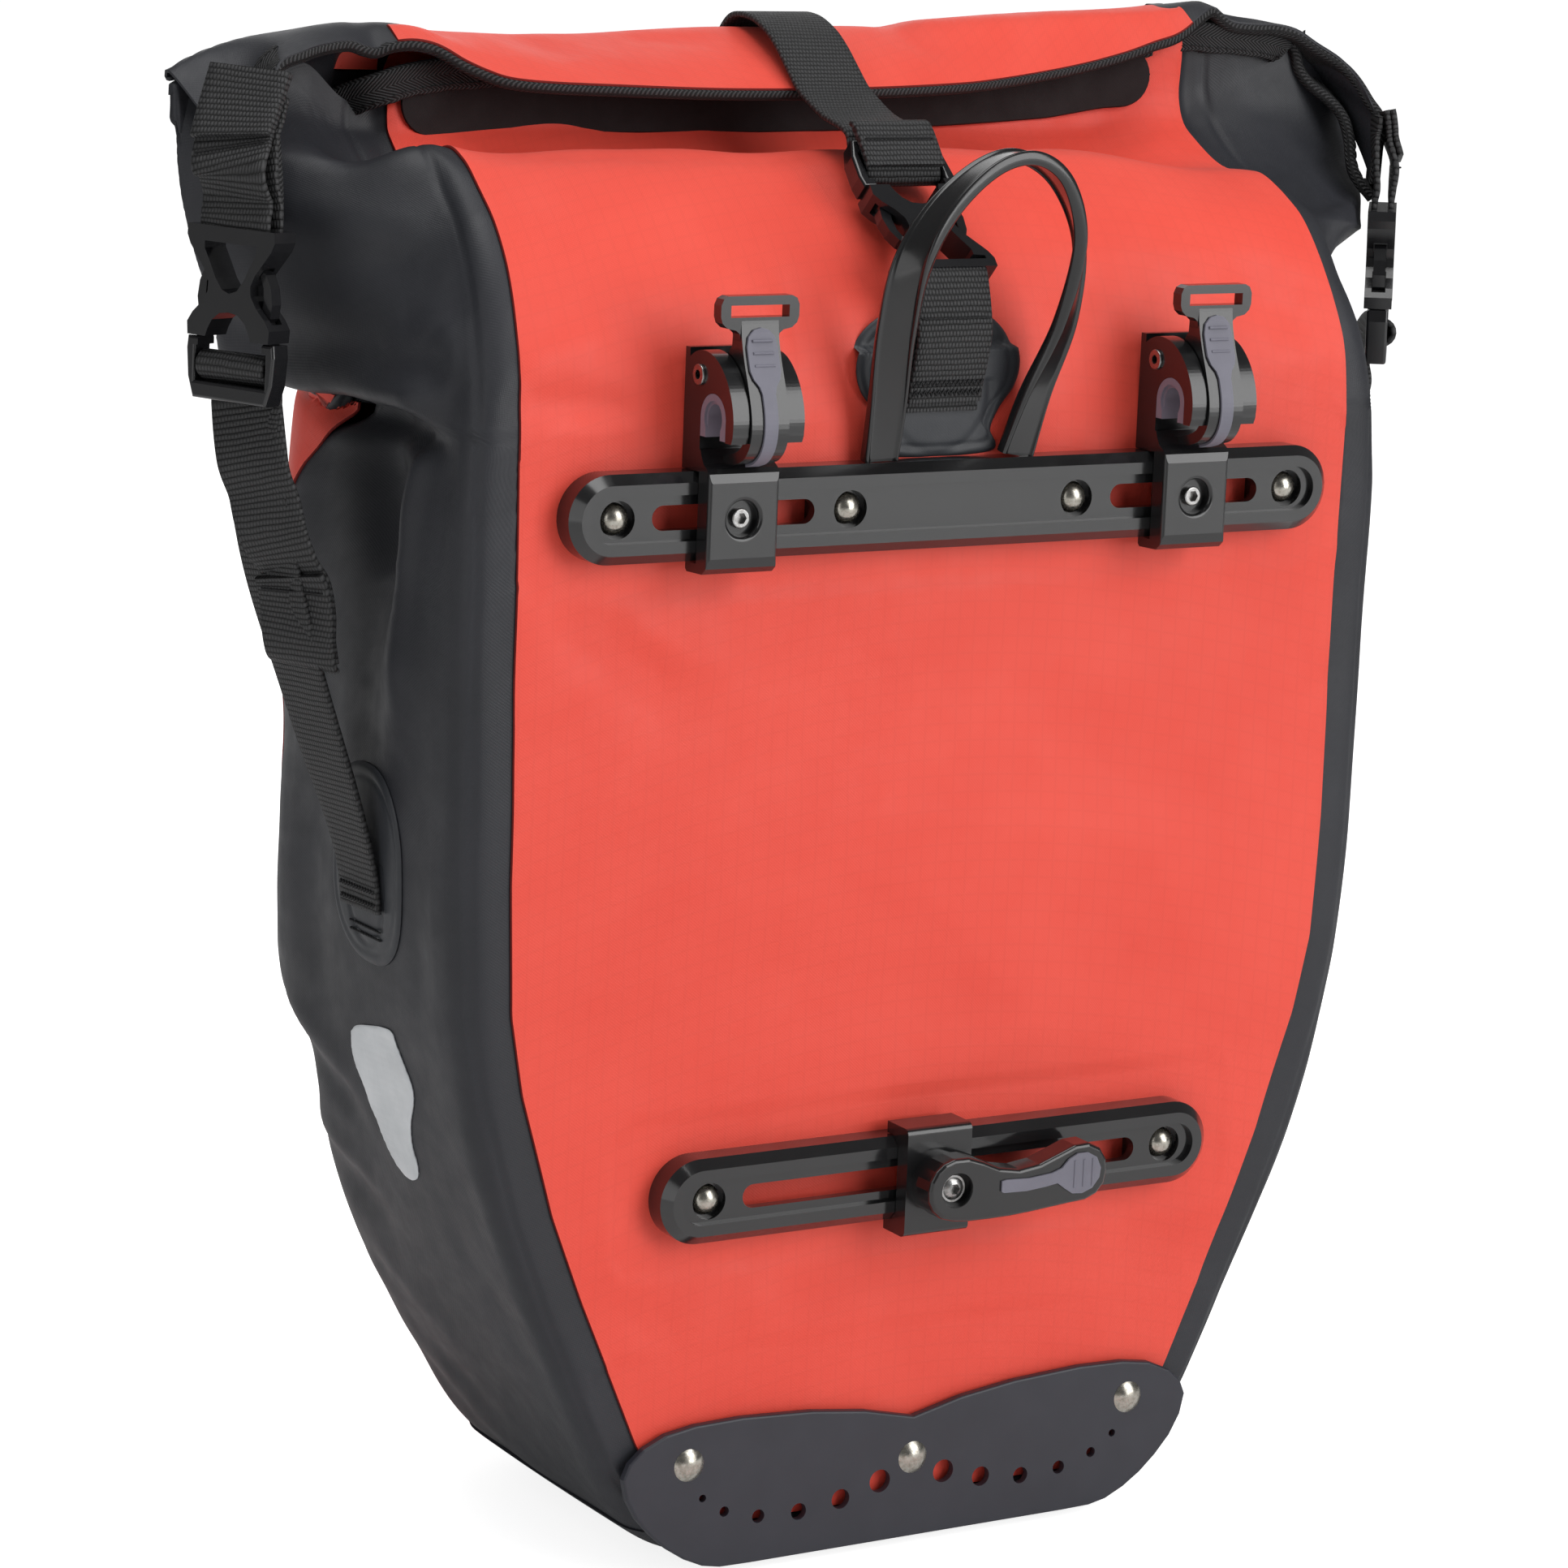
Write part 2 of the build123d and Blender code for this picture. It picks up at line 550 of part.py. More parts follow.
def hook_lever(hook_x):
    """Hub on the pivot, curved locking arm and T handle with a strap slot."""
    body = prism_x(LEVER_CURVE + eased(LEVER_IN, 1, 8, 3), hook_x - LEVER_W, hook_x + LEVER_W)
    body = body + prism_y(moved_points(mirrored(TEE_HALF), hook_x), -21.3, -17.2)
    body = body - box(hook_x - 9.4, hook_x + 9.4, -30, -10, 378.2, 381.6)
    body = body - cross_bore(hook_x, PIVOT_Y, PIVOT_Z, 2.17)
    # room for the spring
    body = body - box(hook_x - 8, hook_x - 1.9, -14.6, 0, 355, 367)
    return one(body)


def ridge_y(z):
    """y on RIDGE_LINE at height z."""
    for (z_low, y_low), (z_high, y_high) in zip(RIDGE_LINE, RIDGE_LINE[1:]):
        if z <= z_high:
            return y_low + (z - z_low) / (z_high - z_low) * (y_high - y_low)


def hook_grip(hook_x, lever):
    """Thin ridged pad on the rack side of the lever."""
    path = [(-21.43, 376)] + [(y, z) for y, z in LEVER_CURVE if z < 375.4 and y < -19.5]
    near, far = [], []
    for i, (y, z) in enumerate(path):
        before, after = path[max(i - 1, 0)], path[min(i + 1, len(path) - 1)]
        ny, nz = unit_normal(before, after)
        near.append((y - ny * 0.06, z - nz * 0.06))
        far.append((y - ny * 0.75, z - nz * 0.75))
    strip = prism_x(near + far[::-1], hook_x - 7, hook_x + 7)
    mask = prism_y(moved_points(mirrored(GRIP_HALF, 1), hook_x), -40, -17)
    grip = (strip & mask) - lever
    for z in RIDGE_Z:
        grip = grip + cyl((hook_x - 3.2, ridge_y(z) - 0.62, z), ACROSS, RIDGE_R, 6.4)
    return one(grip)


def hook_pivot(hook_x):
    """Hollow rivet with a head outside each cheek."""
    head_t, head_gap, head_r = 0.82, 0.08, 3.0
    half = HOOK_W + head_t + head_gap
    pin = cyl((hook_x - half, PIVOT_Y, PIVOT_Z), ACROSS, 2.1, 2 * half)
    for start in (hook_x - half, hook_x + HOOK_W + head_gap):
        pin = pin + cyl((start, PIVOT_Y, PIVOT_Z), ACROSS, head_r, head_t)
    pin = one(pin - cross_bore(hook_x, PIVOT_Y, PIVOT_Z, 1.35))
    return round_edges(pin, 0.35, lambda e: abs(abs(e.center().X - hook_x) - half) < 0.02
                       and e.radius > 2.5)


def hook_spring(hook_x):
    """Coil round the pivot, in the left part of the lever."""
    path = Helix(pitch=1.2, height=3.3, radius=2.85, center=(0, 0, 0), direction=UP)
    wire = sweep(Plane(origin=path @ 0, z_dir=path % 0) * Circle(0.45), path=path)
    return one(Pos(hook_x - 5.6, PIVOT_Y, PIVOT_Z) * Rot(0, 90, 0) * wire)


def hook_screw(hook_x):
    head_y, head_t = CLAMP_SEAT - HEAD_GAP, 1.6
    screw = (cyl((hook_x, head_y, RAIL_Z), TO_RACK, 2.9, head_t)
             + cyl((hook_x, head_y - 0.01, RAIL_Z), INWARD, SHANK_R, 12.1))
    screw = one(screw - hex_socket(hook_x, -13.2, RAIL_Z))
    return round_edges(screw, 0.5, lambda e: e.geom_type == GeomType.CIRCLE
                       and abs(e.center().Y - (head_y - head_t)) < 0.02)


for side, hook_x in HOOKS.items():
    prefix = "hook_" + side + "_"
    lever = hook_lever(hook_x)
    save(prefix + "bracket", hook_bracket(hook_x))
    save(prefix + "insert", hook_insert(hook_x))
    save(prefix + "lever", lever)
    save(prefix + "lever_grip", hook_grip(hook_x, lever))
    save(prefix + "pivot", hook_pivot(hook_x))
    save(prefix + "spring", hook_spring(hook_x))
    save(prefix + "screw", hook_screw(hook_x))
    save(prefix + "nut", nut_plate(hook_x, RAIL_Z, RAIL_Z))

# ---------------------------------------------------------------- lower hook
CARRIAGE_OUTER = -15.6     # y of the carriage's rack-side face
CARRIAGE_HALF_W, CARRIAGE_HALF_H = 11.2, 16.6
CARRIAGE_FIT = 0.25        # clearance round the rail
ARM_OUTER = -26.4          # y of the arm's rack-side face
ARM_SEAT = -22.6           # y of the swivel screw's seat
# Outlines of the swivel arm, (x, z) from its axis, with the arm pointing along +x
ARM_OUTLINE = [
    (-9.6, 0.5), (-9.1, 3.4), (-7.4, 6.3), (-4.6, 8.5), (-1.2, 9.6), (4, 9.5), (9.5, 7.6),
    (15, 5.2), (22, 4.0), (29, 4.9), (36, 7.4), (41.5, 9.4), (46.5, 9.6), (50.6, 7.6),
    (52.9, 4.0), (53.4, 0.4), (52.6, -3.6), (50.0, -6.6), (46.0, -8.2), (40, -8.6), (33, -9.2),
    (26, -9.8), (19, -10.2), (12, -10.3), (5, -10.2), (-0.6, -9.6), (-5.0, -8.3), (-7.8, -5.8),
    (-9.3, -2.8)]
ARM_NOSE = [(47.0, 8.6), (50.4, 7.0), (52.4, 3.8), (52.8, 0.4), (52.0, -3.4), (49.8, -6.0),
            (47.0, -7.4)]
ARM_GRIP = [
    (15.2, 1.3), (15.2, -1.9), (16.0, -2.3), (24, -2.6), (31, -2.0), (35, -1.4), (38.0, -3.6),
    (40.5, -5.2), (44.0, -5.5), (47.6, -4.2), (50.0, -1.2), (50.4, 1.8), (48.8, 5.2),
    (45.6, 7.0), (42.0, 7.0), (39.0, 5.6), (36.4, 3.0), (33.0, 1.9), (25, 1.2), (17, 1.6)]
ARM_RIDGE_X = (41.0, 44.2, 47.4)


def lower_carriage():
    body = box(ARM_X - CARRIAGE_HALF_W, ARM_X + CARRIAGE_HALF_W, CARRIAGE_OUTER, -3.8,
               LOW_Z - CARRIAGE_HALF_H, LOW_Z + CARRIAGE_HALF_H)
    body = one(fillet([e for e in body.edges() if abs(e.center().Y - CARRIAGE_OUTER) < 1e-3
                       and abs(abs(e.center().Z - LOW_Z) - CARRIAGE_HALF_H) < 1e-3], 2.0))
    # the carriage follows the bevelled section of the rail
    half = RAIL_H / 2 + CARRIAGE_FIT
    flat_half = RAIL_H / 2 - CHAMFER
    bevel_y, outer_y = -RAIL_T + CHAMFER, -RAIL_T - CARRIAGE_FIT
    rail_section = [(RAIL_BACK, -half), (bevel_y, -half), (outer_y, -flat_half),
                    (outer_y, flat_half), (bevel_y, half), (RAIL_BACK, half)]
    body = body - prism_x([(y, LOW_Z + z) for y, z in rail_section], ARM_X - 20, ARM_X + 20)
    body = body + cyl((ARM_X, CARRIAGE_OUTER + 0.1, ARM_Z), TO_RACK, 9.4, 2.9)
    return one(body - cyl((ARM_X, -30, ARM_Z), INWARD, SCREW_BORE_R, 40))


def lower_arm():
    arm = prism_y(moved_points(ARM_OUTLINE, ARM_X, ARM_Z), ARM_OUTER, -18.5)
    arm = one(arm + prism_y(moved_points(ARM_NOSE, ARM_X, ARM_Z), -18.6, -15.8))
    arm = round_edges(arm, 1.3, lambda e: abs(e.center().Y - ARM_OUTER) < 1e-3)
    arm = arm - cyl((ARM_X, -30, ARM_Z), INWARD, SCREW_BORE_R, 40)
    return one(arm - cyl((ARM_X, ARM_SEAT, ARM_Z), TO_RACK, 5.4, 10))


def lower_arm_grip():
    grip = prism_y(moved_points(ARM_GRIP, ARM_X, ARM_Z), -27.1, ARM_OUTER - 0.06)
    for x in ARM_RIDGE_X:
        grip = grip + cyl((ARM_X + x, -27.0, ARM_Z - 3.4), UP, RIDGE_R, 8.4)
    return one(grip)


def lower_screw():
    head_y, head_r = ARM_SEAT - HEAD_GAP, 4.1
    screw = cyl((ARM_X, head_y, ARM_Z), TO_RACK, head_r, 1.2)
    dome = ((Pos(ARM_X, head_y + 3.2, ARM_Z) * Sphere(5.6))
            & cyl((ARM_X, -23.7, ARM_Z), TO_RACK, head_r, 3))
    screw = screw + dome + cyl((ARM_X, head_y - 0.01, ARM_Z), INWARD, SHANK_R, 21.1)
    return one(screw - hex_socket(ARM_X, -23.0, ARM_Z))


save("lower_carriage", lower_carriage())
save("lower_arm", lower_arm())
save("lower_arm_grip", lower_arm_grip())
save("lower_screw", lower_screw())
save("lower_nut", nut_plate(ARM_X, LOW_Z, ARM_Z))

# ---------------------------------------------------------------- carry handle
HANDLE_PATH = [(-27.6, -4.4, 335.4), (-28.0, -8.0, 350), (-30.0, -14.5, 372),
               (-29.0, -20.0, 392), (-19.5, -20.8, 408), (-5.0, -21.0, 419.5),
               (8.5, -21.0, 421.8), (20.5, -20.5, 414.0), (28.0, -19.0, 397),
               (27.6, -14.5, 374), (22.6, -8.0, 352), (19.0, -4.4, 335.4)]
HANDLE_WIDTH_DIRS = [(1, 0.0, 0), (1, -0.1, 0), (0.85, -0.45, 0.1), (0.55, -0.8, 0.2),
                     (0.25, -0.95, 0.1), (0.0, -1, 0.0), (0.0, -1, 0.0), (-0.2, -0.95, 0.1),
                     (-0.6, -0.75, 0.1), (-0.85, -0.5, 0.05), (-1, -0.15, 0), (-1, 0, 0)]
save("carry_handle", ribbon(HANDLE_PATH, HANDLE_WIDTH_DIRS, width=15.5, thick=4.6, count=25))

# ---------------------------------------------------------------- side-release buckles
# Drawn flat: local x across the webbing, local y along it (female half above 0), local z
# through the thickness. Outlines are (x, y) of the right half.
FEMALE_HALF = [(0, 7.4), (3.4, 6.9), (6.0, 4.9), (7.6, 2.2), (8.4, 0.0), (15.0, 0.0),
               (15.3, 3.6), (13.4, 6.4), (10.2, 9.4), (8.0, 12.6), (7.8, 15.4), (9.4, 18.6),
               (12.4, 22.2), (15.0, 25.4), (16.2, 28.0), (16.0, 31.0), (0, 31.0)]
FEMALE_WINDOW = [(0, 12.6), (2.8, 13.6), (5.2, 16.6), (7.4, 20.8), (9.6, 24.6), (9.6, 26.6),
                 (0, 26.6)]
FEMALE_RECESS = [(9.2, 26.6), (13.3, 27.0), (13.3, 28.2)]
FEMALE_T = 4.4             # half thickness
TUNNEL = (8.9, 14.2)       # x range of a prong's tunnel
MALE_HALF = [(11.9, -0.4), (15.9, -0.4), (16.3, -4.0), (15.6, -12.0), (13.6, -17.8)]
MALE_T = 3.4               # half thickness
# y and z ranges of the cuts across the male half: two slots and the thinned bar between them
MALE_CUTS = [(-12.9, -9.2, -6, 6), (-6.2, -2.9, -6, 6), (-9.3, -6.1, 1.4, 6),
             (-9.3, -6.1, -6, -1.6)]
PRONG = [(12.2, -1.0), (9.3, 3.0), (9.5, 7.0), (10.8, 11.0), (10.6, 15.0), (9.2, 18.4),
         (9.8, 19.8), (11.4, 18.8), (13.2, 15.2), (13.9, 10.6), (13.3, 6.8), (12.0, 5.6),
         (13.2, 3.0), (13.9, -1.0)]


def crowned(body, half_thick, shortest):
    """Round the rims of both flat faces, on edges longer than shortest."""
    return round_edges(one(body), 0.9, lambda e: abs(abs(e.center().Z) - half_thick) < 1e-3
                       and e.length > shortest)


def buckle_female():
    body = prism_z(mirrored(FEMALE_HALF), -FEMALE_T, FEMALE_T)
    body = body - prism_z(mirrored(FEMALE_WINDOW), -6, 6)
    body = body - prism_z(mirrored(FEMALE_RECESS), -6, -2.2)
    near, far = TUNNEL
    for start, end in ((-far, -near), (near, far)):
        body = body - box(start, end, -1, 20.6, -2.2, 2.2)
    return crowned(body, FEMALE_T, 1.5)


def buckle_male():
    body = prism_z(mirrored(MALE_HALF) + [(-11.9, -3.0), (11.9, -3.0)], -MALE_T, MALE_T)
    for y_min, y_max, z_min, z_max in MALE_CUTS:
        body = body - prism_z([(13.0, y_min), (13.0, y_max), (-13.0, y_max), (-13.0, y_min)],
                              z_min, z_max)
    for side in (-1, 1):
        body = body + prism_z([(side * x, y) for x, y in PRONG], -1.9, 1.9)
    return crowned(body, MALE_T, 3)


def place(shape, origin, width_dir, up):
    """Local y to up, local x to width_dir, local z to their cross product."""
    up = Vector(*up).normalized()
    width = Vector(*width_dir)
    width = (width - up * width.dot(up)).normalized()
    normal = width.cross(up).normalized()
    return shape.moved(Plane(origin=origin, x_dir=width, z_dir=normal).location)


# point between the halves, width direction, direction from male to female
BUCKLES = {
    "left": ((-202.0, 57.0, 366.0), (0.40, -0.917, 0.0), (0.02, 0, 1)),
    "right": ((202.0, 66.0, 366.0), (0.61, 0.79, 0), (-0.02, 0, 1)),
    "centre": ((-6.0, 21.0, 407.7), (1, 0, 0), (0, -0.715, -0.699)),
}
female, male = buckle_female(), buckle_male()
for name, (origin, width_dir, up) in BUCKLES.items():
    save(name + "_buckle_female", place(female, origin, width_dir, up))
    save(name + "_buckle_male", place(male, origin, width_dir, up))

# ---------------------------------------------------------------- webbing
# On each side, a short loop to the mouth's end and a strap down to the gusset.
LOOP_T = 3.4


def along(name, distance, offset_dir=(0, 0, 0), offset=0.0):
    """Point on a buckle's axis, distance from its middle, moved by offset along offset_dir."""
    origin, _, up = BUCKLES[name]
    point = Vector(*origin) + Vector(*up).normalized() * distance + Vector(*offset_dir) * offset
    return (point.X, point.Y, point.Z)


LEFT_NORMAL = (0.917, 0.40, 0)    # from the left buckle towards the bag
RIGHT_NORMAL = (0.79, -0.61, 0)   # from the right buckle away from the bag
left_width, right_width = BUCKLES["left"][1], BUCKLES["right"][1]

save("left_mouth_loop", ribbon(
    [along("left", 27.2, LEFT_NORMAL, -7.0), along("left", 40, LEFT_NORMAL, -5.2),
     along("left", 66, LEFT_NORMAL, 0.0)],
    [left_width, left_width, (0.6, -0.8, -0.1)], WEB, LOOP_T, 7))
save("left_strap", ribbon(
    [along("left", -22.5, (0, 1, 0), 0.5), (-196, 57, 316), (-187, 58, 285), (-175, 58.5, 252),
     (-163.6, 58.5, 224), (-161.2, 58, 205)],
    [left_width, (0.36, -0.93, 0), (0.28, -0.96, 0), (0.15, -0.99, 0), (0.02, -1, 0),
     (0, -1, 0)], WEB, WEB_T, 13))
save("right_mouth_loop", ribbon(
    [along("right", 27.2, RIGHT_NORMAL, 7.0), along("right", 40, RIGHT_NORMAL, 5.2),
     along("right", 66, RIGHT_NORMAL, 3.0)],
    [right_width, right_width, (0.7, 0.7, 0)], WEB, LOOP_T, 7))
save("right_strap", ribbon(
    [along("right", -22.5, (-0.6, 0.5, 0), 0.5), (191, 71, 320), (179, 73, 298),
     (169.4, 69, 266), (163.8, 62, 236), (161.2, 58, 205)],
    [right_width, (0.4, 0.9, 0), (0.3, 0.95, 0), (0.15, 1, 0), (0.02, 1, 0), (0, 1, 0)],
    WEB, WEB_T, 13))
save("centre_anchor_loop", ribbon([(-6.0, -4.6, 379.5), (-6.0, -4.6, 368), (-6.0, -3.4, 354)],
                                  [ACROSS] * 3, WEB, 2.6, 7))
# from the centre buckle over the rolled mouth and down the front
CENTRE_PATH = [along("centre", -21.4), (-5.8, 51, 427.4), (-5.6, 62, 430.6),
               (-5.4, 68.5, 434.2), (-5.2, 75.5, 440.4), (-5, 82.5, 446.0), (-4.6, 90.5, 450.9),
               (-4.2, 101, 453.2), (-3.8, 112, 449.8), (-3.4, 120.0, 441), (-3, 125.0, 429.4),
               (-2.6, 128.2, 414), (-2, 134.2, 396), (-1.4, 144.0, 370), (-0.8, 151.8, 346),
               (-0.3, 157.6, 322), (0, 161.0, 304)]
save("centre_strap", ribbon(CENTRE_PATH, [ACROSS] * len(CENTRE_PATH), WEB, WEB_T, 49))

# ---------------------------------------------------------------- patches and reflectors
ANCHOR_OUTER = -0.25       # y of the anchor patch's face towards the bag
# (x, z) of the right half of the anchor patch, from its centre line
ANCHOR_HALF = [(0, 377.6), (10, 377.0), (19, 373.8), (25.5, 368.0), (28.0, 360.6),
               (26.4, 353.6), (21.6, 347.4), (18.6, 341.0), (18.4, 334.3)]
SIDE_PATCH_X = 158.6
REFLECTOR_X, REFLECTOR_Z = 151.4, 140
REFLECTOR_TILT = 11.0      # degrees; the gussets lean in towards the base


def rounded_patch(center_across, center_z, half_width, half_height):
    """Superellipse of 24 points."""
    power = 2 / 2.4
    pts = []
    for i in range(24):
        angle = 2 * math.pi * i / 24
        c, s = math.cos(angle), math.sin(angle)
        pts.append((center_across + half_width * math.copysign(abs(c) ** power, c),
                    center_z + half_height * math.copysign(abs(s) ** power, s)))
    return pts


def reflector(side):
    plate = prism_x(rounded_patch(58, REFLECTOR_Z, 17.5, 27), 0, PATCH_T)
    plate = Rot(0, REFLECTOR_TILT * side, 0) * (Pos(0, 0, -REFLECTOR_Z) * plate)
    inner_x = side * REFLECTOR_X - (PATCH_T if side < 0 else 0)
    return Pos(inner_x, 0, REFLECTOR_Z) * plate


save("centre_anchor_patch", prism_y(moved_points(mirrored(ANCHOR_HALF, 1), -6.0),
                                    ANCHOR_OUTER - PATCH_T, ANCHOR_OUTER))
for name, side in (("left", -1), ("right", 1)):
    save(name + "_anchor_patch", prism_x(rounded_patch(57, 212, 22.5, 30), side * SIDE_PATCH_X,
                                         side * (SIDE_PATCH_X + PATCH_T)))
    save(name + "_reflector", reflector(side))
save("front_strap_patch", prism_y(rounded_patch(0, 268, 24, 32), 167.2, 167.2 + PATCH_T))
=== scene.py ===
import math

import bpy
import numpy as np
from mathutils import Matrix


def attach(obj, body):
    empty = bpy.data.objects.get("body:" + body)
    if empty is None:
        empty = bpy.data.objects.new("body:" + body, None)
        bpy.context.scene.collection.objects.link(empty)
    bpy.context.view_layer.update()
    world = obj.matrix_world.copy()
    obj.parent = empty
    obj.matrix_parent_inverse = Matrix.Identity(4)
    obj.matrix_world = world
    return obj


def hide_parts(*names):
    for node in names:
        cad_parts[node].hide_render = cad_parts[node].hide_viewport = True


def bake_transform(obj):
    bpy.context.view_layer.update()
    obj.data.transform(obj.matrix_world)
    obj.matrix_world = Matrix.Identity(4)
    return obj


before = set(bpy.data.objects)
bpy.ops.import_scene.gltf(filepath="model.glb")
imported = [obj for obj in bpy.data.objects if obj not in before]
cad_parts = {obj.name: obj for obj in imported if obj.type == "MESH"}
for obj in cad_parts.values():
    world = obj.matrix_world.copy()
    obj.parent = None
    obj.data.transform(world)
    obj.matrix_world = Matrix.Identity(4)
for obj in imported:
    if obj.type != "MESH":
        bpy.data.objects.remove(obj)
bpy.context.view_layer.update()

# Lengths below are millimetres in the bag's own layout (y = 0 on the rack-side panel); mm() turns them into the row frame.
Y0 = 53.0
RNG = np.random.RandomState(7)


def mm(p):
    p = np.asarray(p, float)
    return np.stack([p[..., 0], p[..., 1] - Y0, p[..., 2]], -1) / 1000.0


# ------------------------------------------------------------------ node materials
def srgb(r, g, b):
    out = []
    for c in (r, g, b):
        c /= 255.0
        out.append(c / 12.92 if c <= 0.04045 else ((c + 0.055) / 1.055) ** 2.4)
    return tuple(out) + (1.0,)


class Mat:
    """Small helper that strings shader nodes together."""

    def __init__(self, name, rough=0.5, spec=0.5):
        self.m = bpy.data.materials.new(name)
        self.m.use_nodes = True
        self.t = self.m.node_tree
        self.b = self.t.nodes["Principled BSDF"]
        self.b.inputs["Roughness"].default_value = rough
        if "Specular IOR Level" in self.b.inputs:
            self.b.inputs["Specular IOR Level"].default_value = spec

    def n(self, kind, **kw):
        node = self.t.nodes.new(kind)
        for k, v in kw.items():
            if k in node.inputs:
                node.inputs[k].default_value = v
            else:
                setattr(node, k, v)
        return node

    def link(self, a, b):
        self.t.links.new(a, b)

    def set(self, socket, v):
        if hasattr(v, "is_output"):
            self.link(v, socket)
        else:
            socket.default_value = v

    def math(self, op, a, b=0.0, c=None):
        node = self.t.nodes.new("ShaderNodeMath")
        node.operation = op
        self.set(node.inputs[0], a)
        self.set(node.inputs[1], b)
        if c is not None:
            self.set(node.inputs[2], c)
        return node.outputs[0]

    def coords(self, attribute=None):
        """Millimetres: along and across the cloth for an attribute, otherwise object space."""
        if attribute:
            a = self.n("ShaderNodeAttribute")
            a.attribute_name = attribute
            return a.outputs["Vector"]
        tc = self.n("ShaderNodeTexCoord")
        sc = self.n("ShaderNodeVectorMath")
        sc.operation = "SCALE"
        self.link(tc.outputs["Object"], sc.inputs[0])
        sc.inputs["Scale"].default_value = 1000.0
        return sc.outputs[0]

    def split(self, vec):
        s = self.n("ShaderNodeSeparateXYZ")
        self.link(vec, s.inputs[0])
        return s.outputs[0], s.outputs[1], s.outputs[2]

    def noise(self, vec, scale, detail=3.0, rough=0.55):
        s = self.n("ShaderNodeTexNoise")
        self.link(vec, s.inputs["Vector"])
        s.inputs["Scale"].default_value = scale
        s.inputs["Detail"].default_value = detail
        s.inputs["Roughness"].default_value = rough
        return s.outputs["Fac"]

    def remap(self, v, lo, hi, a, b):
        r = self.n("ShaderNodeMapRange")
        self.link(v, r.inputs["Value"])
        r.inputs["From Min"].default_value = lo
        r.inputs["From Max"].default_value = hi
        r.inputs["To Min"].default_value = a
        r.inputs["To Max"].default_value = b
        return r.outputs["Result"]

    def mix(self, fac, a, b):
        x = self.n("ShaderNodeMix")
        x.data_type = "RGBA"
        self.set(x.inputs[0], fac)
        for i, v in ((6, a), (7, b)):
            self.set(x.inputs[i], v)
        return x.outputs[2]

    def bump(self, height, strength, dist=0.0003, below=None):
        x = self.n("ShaderNodeBump")
        x.inputs["Strength"].default_value = strength
        x.inputs["Distance"].default_value = dist
        self.link(height, x.inputs["Height"])
        if below is not None:
            self.link(below, x.inputs["Normal"])
        return x.outputs["Normal"]

    def out(self, color=None, rough=None, normal=None):
        if color is not None:
            self.set(self.b.inputs["Base Color"], color)
        if rough is not None:
            self.set(self.b.inputs["Roughness"], rough)
        if normal is not None:
            self.link(normal, self.b.inputs["Normal"])
        return self.m


def coated_fabric(name, col, dark, rough, grid=0.55, weave=0.5, sheen=0.0):
    """Coated cloth: fine plain weave, a ripstop grid and slow mottling of colour and gloss."""
    m = Mat(name, rough, 0.35)
    v = m.coords("fab")
    x, y, _ = m.split(v)
    wx = m.math("SINE", m.math("MULTIPLY", x, 2 * math.pi / 0.9))
    wy = m.math("SINE", m.math("MULTIPLY", y, 2 * math.pi / 0.9))
    w = m.math("MULTIPLY", wx, wy)
    gx = m.math("POWER", m.math("ABSOLUTE", m.math("COSINE", m.math("MULTIPLY", x, math.pi / 5.2))), 24.0)
    gy = m.math("POWER", m.math("ABSOLUTE", m.math("COSINE", m.math("MULTIPLY", y, math.pi / 5.2))), 24.0)
    g = m.math("MAXIMUM", gx, gy)
    big = m.noise(v, 0.018, 3.0)
    mid = m.noise(v, 0.11, 4.0)
    fine = m.noise(v, 1.7, 2.0)
    h = m.math("ADD", m.math("MULTIPLY", w, weave), m.math("MULTIPLY", g, grid))
    h = m.math("ADD", h, m.math("MULTIPLY", fine, 0.9))
    nb = m.bump(mid, 0.12, 0.0012)
    nb = m.bump(h, 0.22, 0.00016, nb)
    c = m.mix(m.remap(big, 0.3, 0.7, 0.0, 1.0), col, dark)
    c = m.mix(m.math("MULTIPLY", g, 0.07), c, (col[0] * 0.6, col[1] * 0.6, col[2] * 0.6, 1))
    r = m.remap(mid, 0.25, 0.75, rough - 0.05, rough + 0.08)
    if sheen:
        m.b.inputs["Sheen Weight"].default_value = sheen
        m.b.inputs["Sheen Roughness"].default_value = 0.5
    return m.out(c, r, nb)


def webbing(name, col, pitch=1.7, rough=0.6, across=1.15):
    """Heavy woven band: weft ribs across the width, each broken into short floats by the warp."""
    m = Mat(name, rough, 0.45)
    v = m.coords("fab")
    x, y, _ = m.split(v)
    fine = m.noise(v, 2.2, 2.0)
    slow = m.noise(v, 0.12, 3.0)
    yy = m.math("ADD", y, m.math("MULTIPLY", slow, 0.7))
    row = m.math("ABSOLUTE", m.math("SINE", m.math("MULTIPLY", yy, math.pi / pitch)))
    odd = m.math("MODULO", m.math("ABSOLUTE", m.math("FLOOR", m.math("DIVIDE", yy, pitch))), 2.0)
    ph = m.math("MULTIPLY", odd, math.pi * 0.5)
    tick = m.math("ABSOLUTE", m.math("SINE", m.math("ADD", m.math("MULTIPLY", x, math.pi / across), ph)))
    h = m.math("MULTIPLY", m.math("POWER", row, 0.7), m.math("ADD", m.math("MULTIPLY", m.math("POWER", tick, 0.6), 0.75), 0.25))
    hh = m.math("ADD", h, m.math("MULTIPLY", fine, 0.35))
    nb = m.bump(hh, 0.8, 0.0005)
    # painted light: ridges of the weave are coloured lighter as a painted highlight, the gaps between them darker as
    # painted shade
    painted_ridge_highlight = tuple(min(1, a * 3.2 + 0.016) for a in col[:3]) + (1,)
    painted_groove_shade = (col[0] * 0.28, col[1] * 0.28, col[2] * 0.28, 1)
    c = m.mix(m.remap(hh, 0.35, 1.15, 0.0, 1.0), painted_groove_shade, painted_ridge_highlight)
    return m.out(c, m.remap(fine, 0.2, 0.8, rough - 0.1, rough + 0.12), nb)


